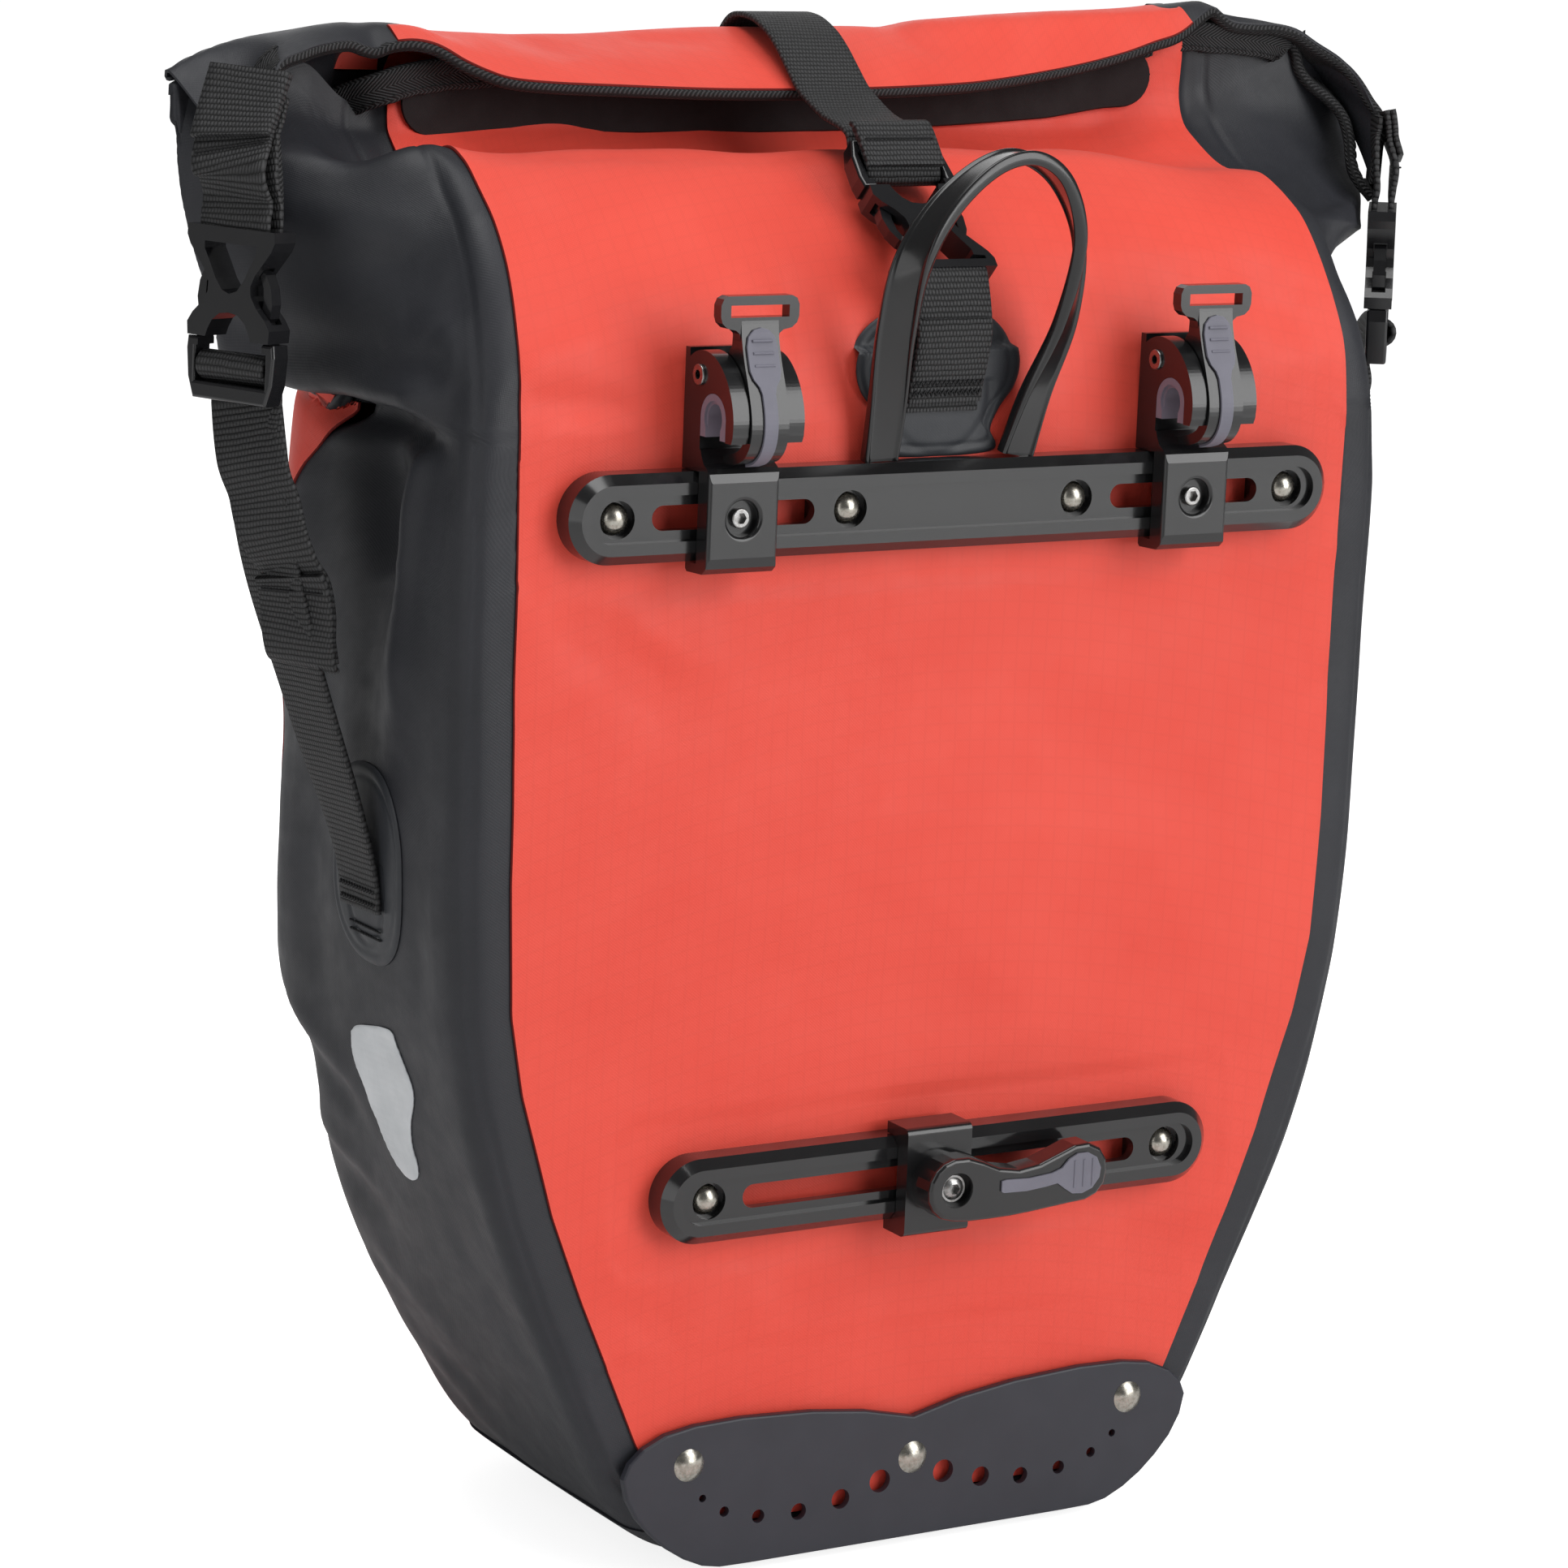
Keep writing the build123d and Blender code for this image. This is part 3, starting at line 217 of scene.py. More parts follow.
def herringbone(name, col, half=4.0, pitch=1.5):
    """Narrow binding tape with a chevron weave and a fuzzy selvedge."""
    m = Mat(name, 0.7, 0.35)
    v = m.coords("fab")
    x, y, _ = m.split(v)
    tri = m.math("PINGPONG", x, half)
    s = m.math("SINE", m.math("MULTIPLY", m.math("ADD", m.math("MULTIPLY", tri, 1.6), y), 2 * math.pi / pitch))
    fine = m.noise(v, 2.2, 2.0)
    h = m.math("ADD", m.math("MULTIPLY", s, 0.5), m.math("MULTIPLY", fine, 0.8))
    nb = m.bump(h, 0.8, 0.00045)
    # painted light: chevron ridges are coloured lighter as a painted highlight, the hollows darker at half the tape
    # colour as painted shade
    painted_ridge_highlight = tuple(min(1, a * 3.4 + 0.016) for a in col[:3]) + (1,)
    c = m.mix(m.remap(h, 0.1, 0.9, 0.0, 1.0), (col[0] * 0.5, col[1] * 0.5, col[2] * 0.5, 1), painted_ridge_highlight)
    return m.out(c, m.remap(fine, 0.2, 0.8, 0.62, 0.85), nb)


def moulded(name, col, rough, grain=0.5, grain_scale=2.6, edge_wear_and_highlight=0.25, spec=0.5, coat=0.0):
    """Moulded plastic: fine spark grain, flow mottling, and convex edges lightened as a painted edge highlight with
    some rubbed wear.
    """
    m = Mat(name, rough, spec)
    v = m.coords()
    g = m.noise(v, grain_scale, 2.0)
    slow = m.noise(v, 0.07, 3.0)
    scuff = m.noise(v, 0.9, 5.0, 0.7)
    nb = m.bump(slow, 0.03, 0.0006)
    nb = m.bump(g, grain * 0.22, 0.000012, nb)
    geo = m.n("ShaderNodeNewGeometry")
    edge = m.remap(geo.outputs["Pointiness"], 0.55, 0.66, 0.0, 1.0)
    lite = tuple(min(1, a * 1.9 + 0.01) for a in col[:3]) + (1,)
    c = m.mix(m.remap(slow, 0.3, 0.7, 0.0, 0.16), col, lite)
    # painted highlight: convex edges are lightened towards lite to stand in for the shine along bevels, partly rubbed
    # wear
    c = m.mix(m.math("MULTIPLY", edge, edge_wear_and_highlight * 0.12), c, lite)
    r = m.remap(scuff, 0.3, 0.75, rough - 0.02, rough + 0.03)
    if coat:
        m.b.inputs["Coat Weight"].default_value = coat
        m.b.inputs["Coat Roughness"].default_value = 0.12
    return m.out(c, r, nb)


def plated(name, col, rough):
    m = Mat(name, rough, 0.5)
    m.b.inputs["Metallic"].default_value = 1.0
    v = m.coords()
    a = m.noise(v, 0.8, 4.0)
    b = m.noise(v, 5.0, 2.0)
    nb = m.bump(a, 0.15, 0.0002)
    nb = m.bump(b, 0.1, 0.00005, nb)
    dark = (col[0] * 0.55, col[1] * 0.52, col[2] * 0.48, 1)
    return m.out(m.mix(m.remap(a, 0.35, 0.7, 0.0, 0.8), col, dark), m.remap(a, 0.3, 0.7, rough - 0.05, rough + 0.14), nb)


def thread(name, col):
    m = Mat(name, 0.7, 0.3)
    v = m.coords()
    n = m.noise(v, 6.0, 2.0)
    return m.out(m.mix(n, col, tuple(min(1, a * 2.2) for a in col[:3]) + (1,)), m.remap(n, 0.3, 0.7, 0.6, 0.8), m.bump(n, 0.5, 0.0001))


RED = coated_fabric("red_coated_fabric", srgb(232, 80, 64), srgb(226, 72, 56), 0.50, sheen=0.06)
CHAR = coated_fabric("charcoal_coated_fabric", srgb(46, 47, 52), srgb(41, 42, 46), 0.46, grid=0.25, weave=0.6)
WEB = webbing("black_webbing", srgb(24, 24, 25))
TAPE = herringbone("herringbone_tape", srgb(27, 27, 28))
PATCH = coated_fabric("welded_patch", srgb(54, 56, 60), srgb(50, 52, 56), 0.42, grid=0.0, weave=0.15)
STIFF = coated_fabric("stiffener_felt", srgb(34, 26, 27), srgb(28, 22, 23), 0.8, grid=0.0, weave=0.9)
THREAD = thread("black_thread", srgb(24, 24, 25))
THREAD_R = thread("dark_edge", srgb(96, 20, 16))
RAIL = moulded("rail_nylon", srgb(20, 20, 21), 0.20, grain=0.2, edge_wear_and_highlight=0.3, coat=0.5)
LRAIL = moulded("lower_rail_nylon", srgb(24, 24, 25), 0.13, grain=0.08, edge_wear_and_highlight=0.25, coat=0.6)
HOOK = moulded("hook_nylon", srgb(19, 19, 20), 0.24, grain=0.3, edge_wear_and_highlight=0.35, coat=0.4)
BUCK = moulded("buckle_acetal", srgb(22, 22, 24), 0.22, grain=0.3, edge_wear_and_highlight=0.35, coat=0.4)
GRIP = moulded("soft_grip", srgb(104, 103, 114), 0.55, grain=0.4, edge_wear_and_highlight=0.15)
INSERT = moulded("jaw_insert", srgb(112, 104, 116), 0.42, grain=0.2, edge_wear_and_highlight=0.15)
PLATE = moulded("base_plate_plastic", srgb(40, 41, 49), 0.42, grain=0.35, edge_wear_and_highlight=0.2)
HANDLE = moulded("handle_plastic", srgb(21, 21, 22), 0.24, grain=0.3, edge_wear_and_highlight=0.2, coat=0.4)
RIVET = plated("nickel_rivet", srgb(190, 187, 178), 0.22)
STEEL = plated("screw_steel", srgb(176, 176, 176), 0.26)
SPRING = plated("spring_steel", srgb(150, 150, 152), 0.3)
BOARD = moulded("stiffening_board", srgb(60, 60, 62), 0.6)


def reflector_material():
    """Retroreflective film: fine silver cells under a clear satin skin."""
    m = Mat("reflective_film", 0.34, 0.6)
    v = m.coords("fab")
    vo = m.n("ShaderNodeTexVoronoi")
    m.link(v, vo.inputs["Vector"])
    vo.inputs["Scale"].default_value = 1.1
    big = m.noise(v, 0.06, 3.0)
    c = m.mix(m.remap(big, 0.3, 0.7, 0.0, 1.0), srgb(214, 217, 220), srgb(196, 200, 203))
    m.b.inputs["Metallic"].default_value = 0.05
    nb = m.bump(vo.outputs["Distance"], 0.12, 0.0001)
    nb = m.bump(big, 0.35, 0.0015, nb)
    return m.out(c, m.remap(big, 0.3, 0.7, 0.28, 0.42), nb)


REFL = reflector_material()


# ------------------------------------------------------------------ mesh helpers
def unit(v):
    return v / np.maximum(np.linalg.norm(v, axis=-1, keepdims=True), 1e-9)


class Builder:
    """Collects vertices and faces of one piece."""

    def __init__(self):
        self.v, self.f, self.fab, self.mat, self.k, self.smooth = [], [], [], [], 0, []

    def add(self, verts, faces, fab=None, mat=0, smooth=True):
        verts = np.asarray(verts, float).reshape(-1, 3)
        fab = np.zeros_like(verts) if fab is None else np.asarray(fab, float).reshape(-1, 3)
        self.v.append(verts)
        self.fab.append(fab)
        for f in faces:
            self.f.append(tuple(int(i) + self.k for i in f))
        self.mat += [mat] * len(faces)
        self.smooth += [smooth] * len(faces)
        self.k += len(verts)

    def piece(self, name, mats):
        v = mm(np.concatenate(self.v))
        me = bpy.data.meshes.new(name)
        me.from_pydata(v.tolist(), [], self.f)
        at = me.attributes.new("fab", "FLOAT_VECTOR", "POINT")
        at.data.foreach_set("vector", np.concatenate(self.fab).astype(np.float32).ravel())
        for m in mats:
            me.materials.append(m)
        me.polygons.foreach_set("material_index", self.mat)
        me.polygons.foreach_set("use_smooth", self.smooth)
        me.update()
        o = bpy.data.objects.new(name, me)
        bpy.context.scene.collection.objects.link(o)
        return o


def grid_faces(nv, nu, closed_u=False, flip=False):
    out = []
    for j in range(nv - 1):
        for i in range(nu if closed_u else nu - 1):
            a, b = j * nu + i, j * nu + (i + 1) % nu
            c, d = b + nu, a + nu
            out.append((d, c, b, a) if flip else (a, b, c, d))
    return out


def grid_normals(p):
    du = np.gradient(p, axis=1)
    dv = np.gradient(p, axis=0)
    return unit(np.cross(du, dv))


def arc(p, axis):
    d = np.linalg.norm(np.diff(p, axis=axis), axis=-1)
    s = np.cumsum(d, axis=axis)
    shape = list(s.shape)
    shape[axis] = 1
    return np.concatenate([np.zeros(shape), s], axis=axis)


def sheet(b, p, nrm, off, thick, mat=0, mat_in=None, fab=None, rim_mat=None):
    """Closed cloth sheet over grid p: outer face off mm along nrm, thickness thick, with a rolled rim."""
    nv, nu = p.shape[:2]
    if fab is None:
        fab = np.stack([arc(p, 1), arc(p, 0), np.zeros(p.shape[:2])], -1)
        fab[..., 0] -= fab[:, nu // 2:nu // 2 + 1, 0]
    mat_in = mat if mat_in is None else mat_in
    rim_mat = mat if rim_mat is None else rim_mat
    outer, inner = p + nrm * off, p + nrm * (off - thick)
    b.add(outer, grid_faces(nv, nu), fab, mat)
    b.add(inner, grid_faces(nv, nu, flip=True), fab, mat_in)
    ring = [(0, i) for i in range(nu)] + [(j, nu - 1) for j in range(1, nv)] + [(nv - 1, i) for i in range(nu - 2, -1, -1)] + [(j, 0) for j in range(nv - 2, 0, -1)]
    ro = np.array([outer[j, i] for j, i in ring])
    ri = np.array([inner[j, i] for j, i in ring])
    rf = np.array([fab[j, i] for j, i in ring])
    cen = np.array([p[min(max(j, 2), nv - 3), min(max(i, 2), nu - 3)] for j, i in ring])
    nn = np.array([nrm[j, i] for j, i in ring])
    out = (ro + ri) / 2 - cen
    out = unit(out - nn * (out * nn).sum(-1, keepdims=True))
    rm = (ro + ri) / 2 + out * thick * 0.35
    n = len(ring)
    faces = []
    for i in range(n):
        k = (i + 1) % n
        faces.append((i, i + n, k + n, k))
        faces.append((i + n, i + 2 * n, k + 2 * n, k + n))
    b.add(np.concatenate([ro, rm, ri]), faces, np.concatenate([rf, rf, rf]), rim_mat)


def spline(pts, n, closed=False):
    """Catmull-Rom through pts, spaced evenly by length."""
    p = np.asarray(pts, float)
    q = np.concatenate([[2 * p[0] - p[1]], p, [2 * p[-1] - p[-2]]])
    out = []
    m = len(p) - 1
    for k in range(m):
        a, b, c, d = q[k:k + 4]
        t = np.linspace(0, 1, 24, endpoint=False)[:, None]
        out.append(0.5 * (2 * b + (c - a) * t + (2 * a - 5 * b + 4 * c - d) * t ** 2 + (3 * b - a - 3 * c + d) * t ** 3))
    out = np.concatenate(out + [p[-1:]])
    return resample(out, n)


def resample(p, n):
    d = np.concatenate([[0], np.cumsum(np.linalg.norm(np.diff(p, axis=0), axis=-1))])
    s = np.linspace(0, d[-1], n)
    return np.stack([np.interp(s, d, p[:, k]) for k in range(p.shape[1])], -1)


def smooth_line(p, w):
    """Repeated neighbour averaging, ends kept."""
    for _ in range(w):
        q = p.copy()
        q[1:-1] = (p[:-2] + 2 * p[1:-1] + p[2:]) / 4
        p = q
    return p


def frames(c, wd):
    tan = unit(np.gradient(c, axis=0))
    w = unit(wd - tan * (wd * tan).sum(-1, keepdims=True))
    return tan, w, unit(np.cross(tan, w))


def band(b, c, wd, width, thick, section=None, mat=0, wave=0.0, fab_shift=0.0, closed_ends=True, taper=None):
    """Webbing band along centre line c with width directions wd; section lists (across, through) outline points in -1..1."""
    tan, w, n = frames(c, wd)
    if section is None:
        section = []
        for k in range(9):
            section.append((-0.97 + 1.94 * k / 8, 1.0))
        section += [(1.0, 0.45), (1.0, -0.45)]
        for k in range(9):
            section.append((0.97 - 1.94 * k / 8, -1.0))
        section += [(-1.0, -0.45), (-1.0, 0.45)]
    s = np.array(section)
    length = np.concatenate([[0], np.cumsum(np.linalg.norm(np.diff(c, axis=0), axis=-1))])
    wid = np.full(len(c), width / 2) if taper is None else width / 2 * np.asarray(taper)
    p = c[:, None] + w[:, None] * (s[None, :, :1] * wid[:, None, None]) + n[:, None] * (s[None, :, 1:] * thick / 2)
    if wave:
        ph = RNG.uniform(0, 6)
        p += n[:, None] * (wave * np.sin(length / 9.0 + ph)[:, None, None] * (s[None, :, :1]))
    fab = np.stack([np.broadcast_to(s[:, 0] * width / 2, (len(c), len(s))), np.broadcast_to(length[:, None] + fab_shift, (len(c), len(s))),
                    np.zeros((len(c), len(s)))], -1)
    nv, nu = p.shape[:2]
    faces = grid_faces(nv, nu, closed_u=True, flip=True)
    b.add(p, faces, fab, mat)
    if closed_ends:
        for j, fl in ((0, False), (nv - 1, True)):
            cc = p[j].mean(0)
            vs = np.concatenate([p[j], [cc]])
            fc = [((i, (i + 1) % nu, nu) if not fl else ((i + 1) % nu, i, nu)) for i in range(nu)]
            b.add(vs, fc, np.concatenate([fab[j], [fab[j].mean(0)]]), mat)
    return p


def capsule_line(b, pts, r, mat, sides=6):
    """Thin round thread through pts, closed at both ends."""
    p = np.asarray(pts, float)
    tan = unit(np.gradient(p, axis=0))
    ref = np.array([0.31, 0.55, 0.77])
    w = unit(np.cross(tan, ref))
    n = np.cross(tan, w)
    a = np.arange(sides) * 2 * math.pi / sides
    ring = p[:, None] + r * (w[:, None] * np.cos(a)[None, :, None] + n[:, None] * np.sin(a)[None, :, None])
    b.add(ring, grid_faces(len(p), sides, closed_u=True), None, mat)
    k = len(p)
    b.add(np.concatenate([ring[0], [p[0] - tan[0] * r * 0.8]]), [((i + 1) % sides, i, sides) for i in range(sides)], None, mat)
    b.add(np.concatenate([ring[k - 1], [p[-1] + tan[-1] * r * 0.8]]), [(i, (i + 1) % sides, sides) for i in range(sides)], None, mat)


def stitches(b, line, nrm, mat, pitch=3.0, length=2.1, r=0.24, lift=0.1):
    """Row of single stitches lying on a surface along line, each one dipping in at its ends."""
    line = np.asarray(line, float)
    d = np.concatenate([[0], np.cumsum(np.linalg.norm(np.diff(line, axis=0), axis=-1))])
    nrm = np.broadcast_to(np.asarray(nrm, float), line.shape)
    count = int(d[-1] / pitch)
    for k in range(count):
        s0 = (k + 0.5) * d[-1] / max(count, 1)
        q = []
        for t, h in ((-0.5, -0.25), (-0.3, 0.8), (0, 1.0), (0.3, 0.8), (0.5, -0.25)):
            s = s0 + t * length
            pt = np.array([np.interp(s, d, line[:, i]) for i in range(3)])
            nn = np.array([np.interp(s, d, nrm[:, i]) for i in range(3)])
            q.append(pt + nn / max(np.linalg.norm(nn), 1e-6) * (lift + h * r))
        capsule_line(b, q, r, mat, 5)


# ------------------------------------------------------------------ the bag's form
# key levels: v, back z, back y, back corner x, side z, side x, side y, front z, front y, front corner x, front radius
LOW = [
    (0.0, 62, 8.0, 104, 26), (3.0, 71, 5.2, 113, 24), (8.0, 82, 2.6, 124, 24), (16.0, 92.5, 1.1, 132, 26), (28.0, 101.5, 0.3, 138.0, 30),
    (45.0, 110.5, 0, 144, 36), (70.0, 123, 0, 149.5, 43), (97.0, 135.5, 0, 154.5, 48), (118.0, 143.5, 0, 158.0, 52), (136.0, 148.6, 0, 160.8, 55),
    (155.0, 151.8, 0, 163.4, 58), (175.0, 154.6, 0, 165.2, 60), (214.0, 157.2, 0, 166.3, 61), (252.0, 158.4, 0, 165.8, 62), (291.0, 159.4, 0, 161.4, 62),
    (318.0, 159.2, 0.0, 156.6, 58),
]
TOP = [
    (330, 330, 0.1, 158.3, 330, 158.9, 86, 330, 154.2, 158.2, 54),
    (340, 340, 0.3, 157.4, 340, 159.6, 96, 340, 151.6, 157.3, 50),
    (348, 348, 0.9, 156.4, 344.5, 164, 104, 348, 149.3, 156, 46),
    (356, 356, 2.0, 155.0, 350, 171.5, 107, 356, 146.8, 154.8, 42),
    (366, 366, 4.4, 153.0, 360, 182, 105, 366, 143.3, 153, 36),
    (376, 376, 8.2, 151.0, 370, 191, 102, 376, 139.6, 151.7, 30),
    (388, 388, 15.2, 149.0, 380, 197.5, 99, 388, 135.2, 150.5, 24),
    (400, 400, 25.2, 147.0, 390, 201.5, 97, 400, 130.4, 150, 18),
    (409, 408.6, 36.5, 145.2, 399, 204, 96, 409, 127.2, 149.5, 14),
    (416, 414.6, 47.5, 144.0, 407, 205.3, 96, 417, 124.3, 149.3, 11),
    (424, 416.4, 58.0, 143.2, 414, 206, 96.5, 425, 121.8, 149.2, 9),
    (432, 416.6, 72.0, 142.2, 421, 206, 98, 433, 118.6, 149.1, 7),
    (440, 417.4, 86.0, 141.2, 428, 205.6, 100, 441, 113.4, 149, 5),
    (447, 421.5, 94.5, 140.5, 433, 205.2, 101, 446.3, 107.5, 149, 4),
    (452, 431.0, 97.2, 140.2, 436, 204.6, 102, 448.6, 103.5, 149, 3),
]


def cr(table, v):
    """Smooth monotone-ish interpolation of table columns at v (array)."""
    t = np.array(table, float)
    x, y = t[:, 0], t[:, 1:]
    h = np.diff(x)[:, None]
    s = np.diff(y, axis=0) / h
    m = np.zeros_like(y)
    m[1:-1] = np.where(s[:-1] * s[1:] > 0, 2 * s[:-1] * s[1:] / (s[:-1] + s[1:] + 1e-12), 0)
    m[0], m[-1] = s[0], s[-1]
    v = np.clip(np.asarray(v, float), x[0], x[-1])
    k = np.clip(np.searchsorted(x, v, side="right") - 1, 0, len(x) - 2)
    hh = (x[k + 1] - x[k])[:, None]
    u = ((v - x[k])[:, None]) / hh
    return ((2 * u ** 3 - 3 * u ** 2 + 1) * y[k] + (u ** 3 - 2 * u ** 2 + u) * hh * m[k] + (3 * u ** 2 - 2 * u ** 3) * y[k + 1] + (u ** 3 - u ** 2) * hh * m[k + 1])


ROWS = []
for z, hw, ya, yb, rf in LOW:
    ROWS.append((z, z, ya, hw, z, hw + 0.6, (ya + yb) / 2, z, yb, hw, rf))
ROWS += [tuple(float(a) for a in r) for r in TOP]

SEAM = [(0, 40), (14, 60), (20, 74), (30, 85), (44, 94), (65, 103), (90, 113.5), (117, 124), (154, 135), (178, 139.5), (217, 141), (272, 141.5),
        (307, 141.5), (339, 142), (364, 141), (382, 139.5), (404, 138), (416, 137.5), (452, 138)]
# the front seam: depth at each height below the ear (it is drawn back where the ear's fold tucks in), width above it
FSEAM_Y = [(0, 60), (14, 118), (24, 124), (45, 131), (97, 138), (240, 139), (270, 136), (292, 128), (308, 114), (323, 100), (335, 86), (341, 79), (349, 79)]
FSEAM_X = [(349, 146), (366, 145), (388, 143.5), (409, 141), (430, 138.5), (452, 138)]


def seam_x(v):
    t = np.array(SEAM, float)
    return np.interp(v, t[:, 0], t[:, 1])


def row_line(row):
    """One half of the perimeter at a level, from the middle of the back to the middle of the front, as a dense line (x > 0)."""
    v, zb, ya, hwb, ze, xe, ye, zf, yb, hwf, rf = row
    rb = 9.0 if v > 30 else 9.0 + (30 - v) * 0.25
    if v > 400:
        rb = max(3.0, 9.0 - (v - 400) * 0.15)
    pts = []
    for x in np.linspace(0, hwb - rb, 60):
        pts.append((x, ya, zb))
    for a in np.linspace(0, math.pi / 2, 9)[1:]:
        pts.append((hwb - rb + rb * math.sin(a), ya + rb - rb * math.cos(a), zb))
    b0 = np.array(pts[-1])
    tip = np.array([xe, ye, ze])
    f0 = np.array([hwf, yb - rf, zf])
    ear = min(1.0, max(0.0, (xe - max(hwb, hwf)) / 12.0))
    for a, c, sgn in ((b0, tip, 1), (tip, f0, -1)):
        t = np.linspace(0, 1, 30)[1:, None]
        seg = a + (c - a) * t
        # the cloth between a corner and the ear's edge is slightly full
        d = c - a
        nn = np.array([-d[1], d[0], 0.0]) * -1
        nn = nn / max(np.linalg.norm(nn), 1e-6)
        if sgn < 0:
            nn = np.array([nn[0], nn[1], 0])
        seg = seg + nn * (2.2 * ear * np.sin(math.pi * t))
        pts += [tuple(q) for q in seg]
    for a in np.linspace(0, math.pi / 2, 13)[1:]:
        pts.append((hwf - rf + rf * math.cos(a), yb - rf + rf * math.sin(a), zf))
    for x in np.linspace(hwf - rf, 0, 40)[1:]:
        pts.append((x, yb, zf))
    p = resample(np.array(pts), 420)
    return smooth_line(p, 6)


def cut(line, s0, s1, n):
    d = np.concatenate([[0], np.cumsum(np.linalg.norm(np.diff(line, axis=0), axis=-1))])
    s = np.linspace(s0, s1, n)
    return np.stack([np.interp(s, d, line[:, k]) for k in range(3)], -1), d


def level_rows(vs):
    vals = cr(ROWS, vs)
    return [row_line((v,) + tuple(r)) for v, r in zip(vs, vals)]


def seam_positions(line, v):
    d = np.concatenate([[0], np.cumsum(np.linalg.norm(np.diff(line, axis=0), axis=-1))])
    back = np.interp(seam_x(v), line[:140, 0], d[:140])
    k0 = int(np.argmax(line[:, 1] > line[0, 1] + 8.0))
    ys = np.maximum.accumulate(line[k0:, 1])
    fa = np.interp(np.interp(v, [a for a, _ in FSEAM_Y], [b for _, b in FSEAM_Y]), ys, d[k0:])
    tip = int(np.argmax(line[:, 0]))
    xs = np.minimum.accumulate(line[tip:, 0])
    fb = np.interp(-np.interp(v, [a for a, _ in FSEAM_X], [b for _, b in FSEAM_X]), -xs, d[tip:])
    t = min(1.0, max(0.0, (v - 341) / 6.0))
    t = t * t * (3 - 2 * t)
    return back, fa * (1 - t) + fb * t, d[-1]


def lump(p, c, r, amp, stretch=None):
    q = p - np.array(c, float)
    if stretch is not None:
        q = q / np.array(stretch, float)
    return amp * np.exp(-(q ** 2).sum(-1) / (r * r))


def crease(p, a, b, w, amp, sharp=1.0):
    """Fold along segment a-b: amp mm, half width w."""
    a, b = np.array(a, float), np.array(b, float)
    d = b - a
    t = np.clip(((p - a) @ d) / (d @ d), 0, 1)
    q = p - (a + t[..., None] * d)
    dist = np.sqrt((q ** 2).sum(-1))
    fade = np.sin(np.clip(t * 0.94 + 0.03, 0, 1) * math.pi) ** 0.5
    return amp * fade * np.exp(-(dist / w) ** (2 * sharp))


def fnoise(p, scale, seed):
    """Cheap smooth noise: a sum of randomly turned waves."""
    r = np.random.RandomState(seed)
    out = np.zeros(p.shape[:-1])
    for k in range(7):
        d = unit(r.normal(size=3)) * r.uniform(0.7, 1.5)
        out += np.sin((p @ d) * (2 * math.pi / scale) + r.uniform(0, 6.28)) / 7.0 * 1.6
    return out


def hardware_mask(p):
    """0 on the part of the back that rests on the stiffening board and carries the fittings, 1 away from them."""
    x, z = p[..., 0], p[..., 2]
    m = np.ones(p.shape[:-1])
    back = p[..., 1] < 30
    for cx, cz, hx, hz in ((0, 320.6, 132, 14), (3.2, 118.7, 98, 14), (0, 34, 100, 26), (-79, 350, 14, 34), (76, 350, 14, 34), (-6, 352, 32, 30),
                           (-79, 372, 14, 16), (76, 372, 14, 16)):
        dx = np.maximum(np.abs(x - cx) - hx, 0)
        dz = np.maximum(np.abs(z - cz) - hz, 0)
        d = np.sqrt(dx * dx + dz * dz)
        m = np.where(back, np.minimum(m, np.clip(d / 26.0, 0, 1)), m)
    return m * m * (3 - 2 * m)


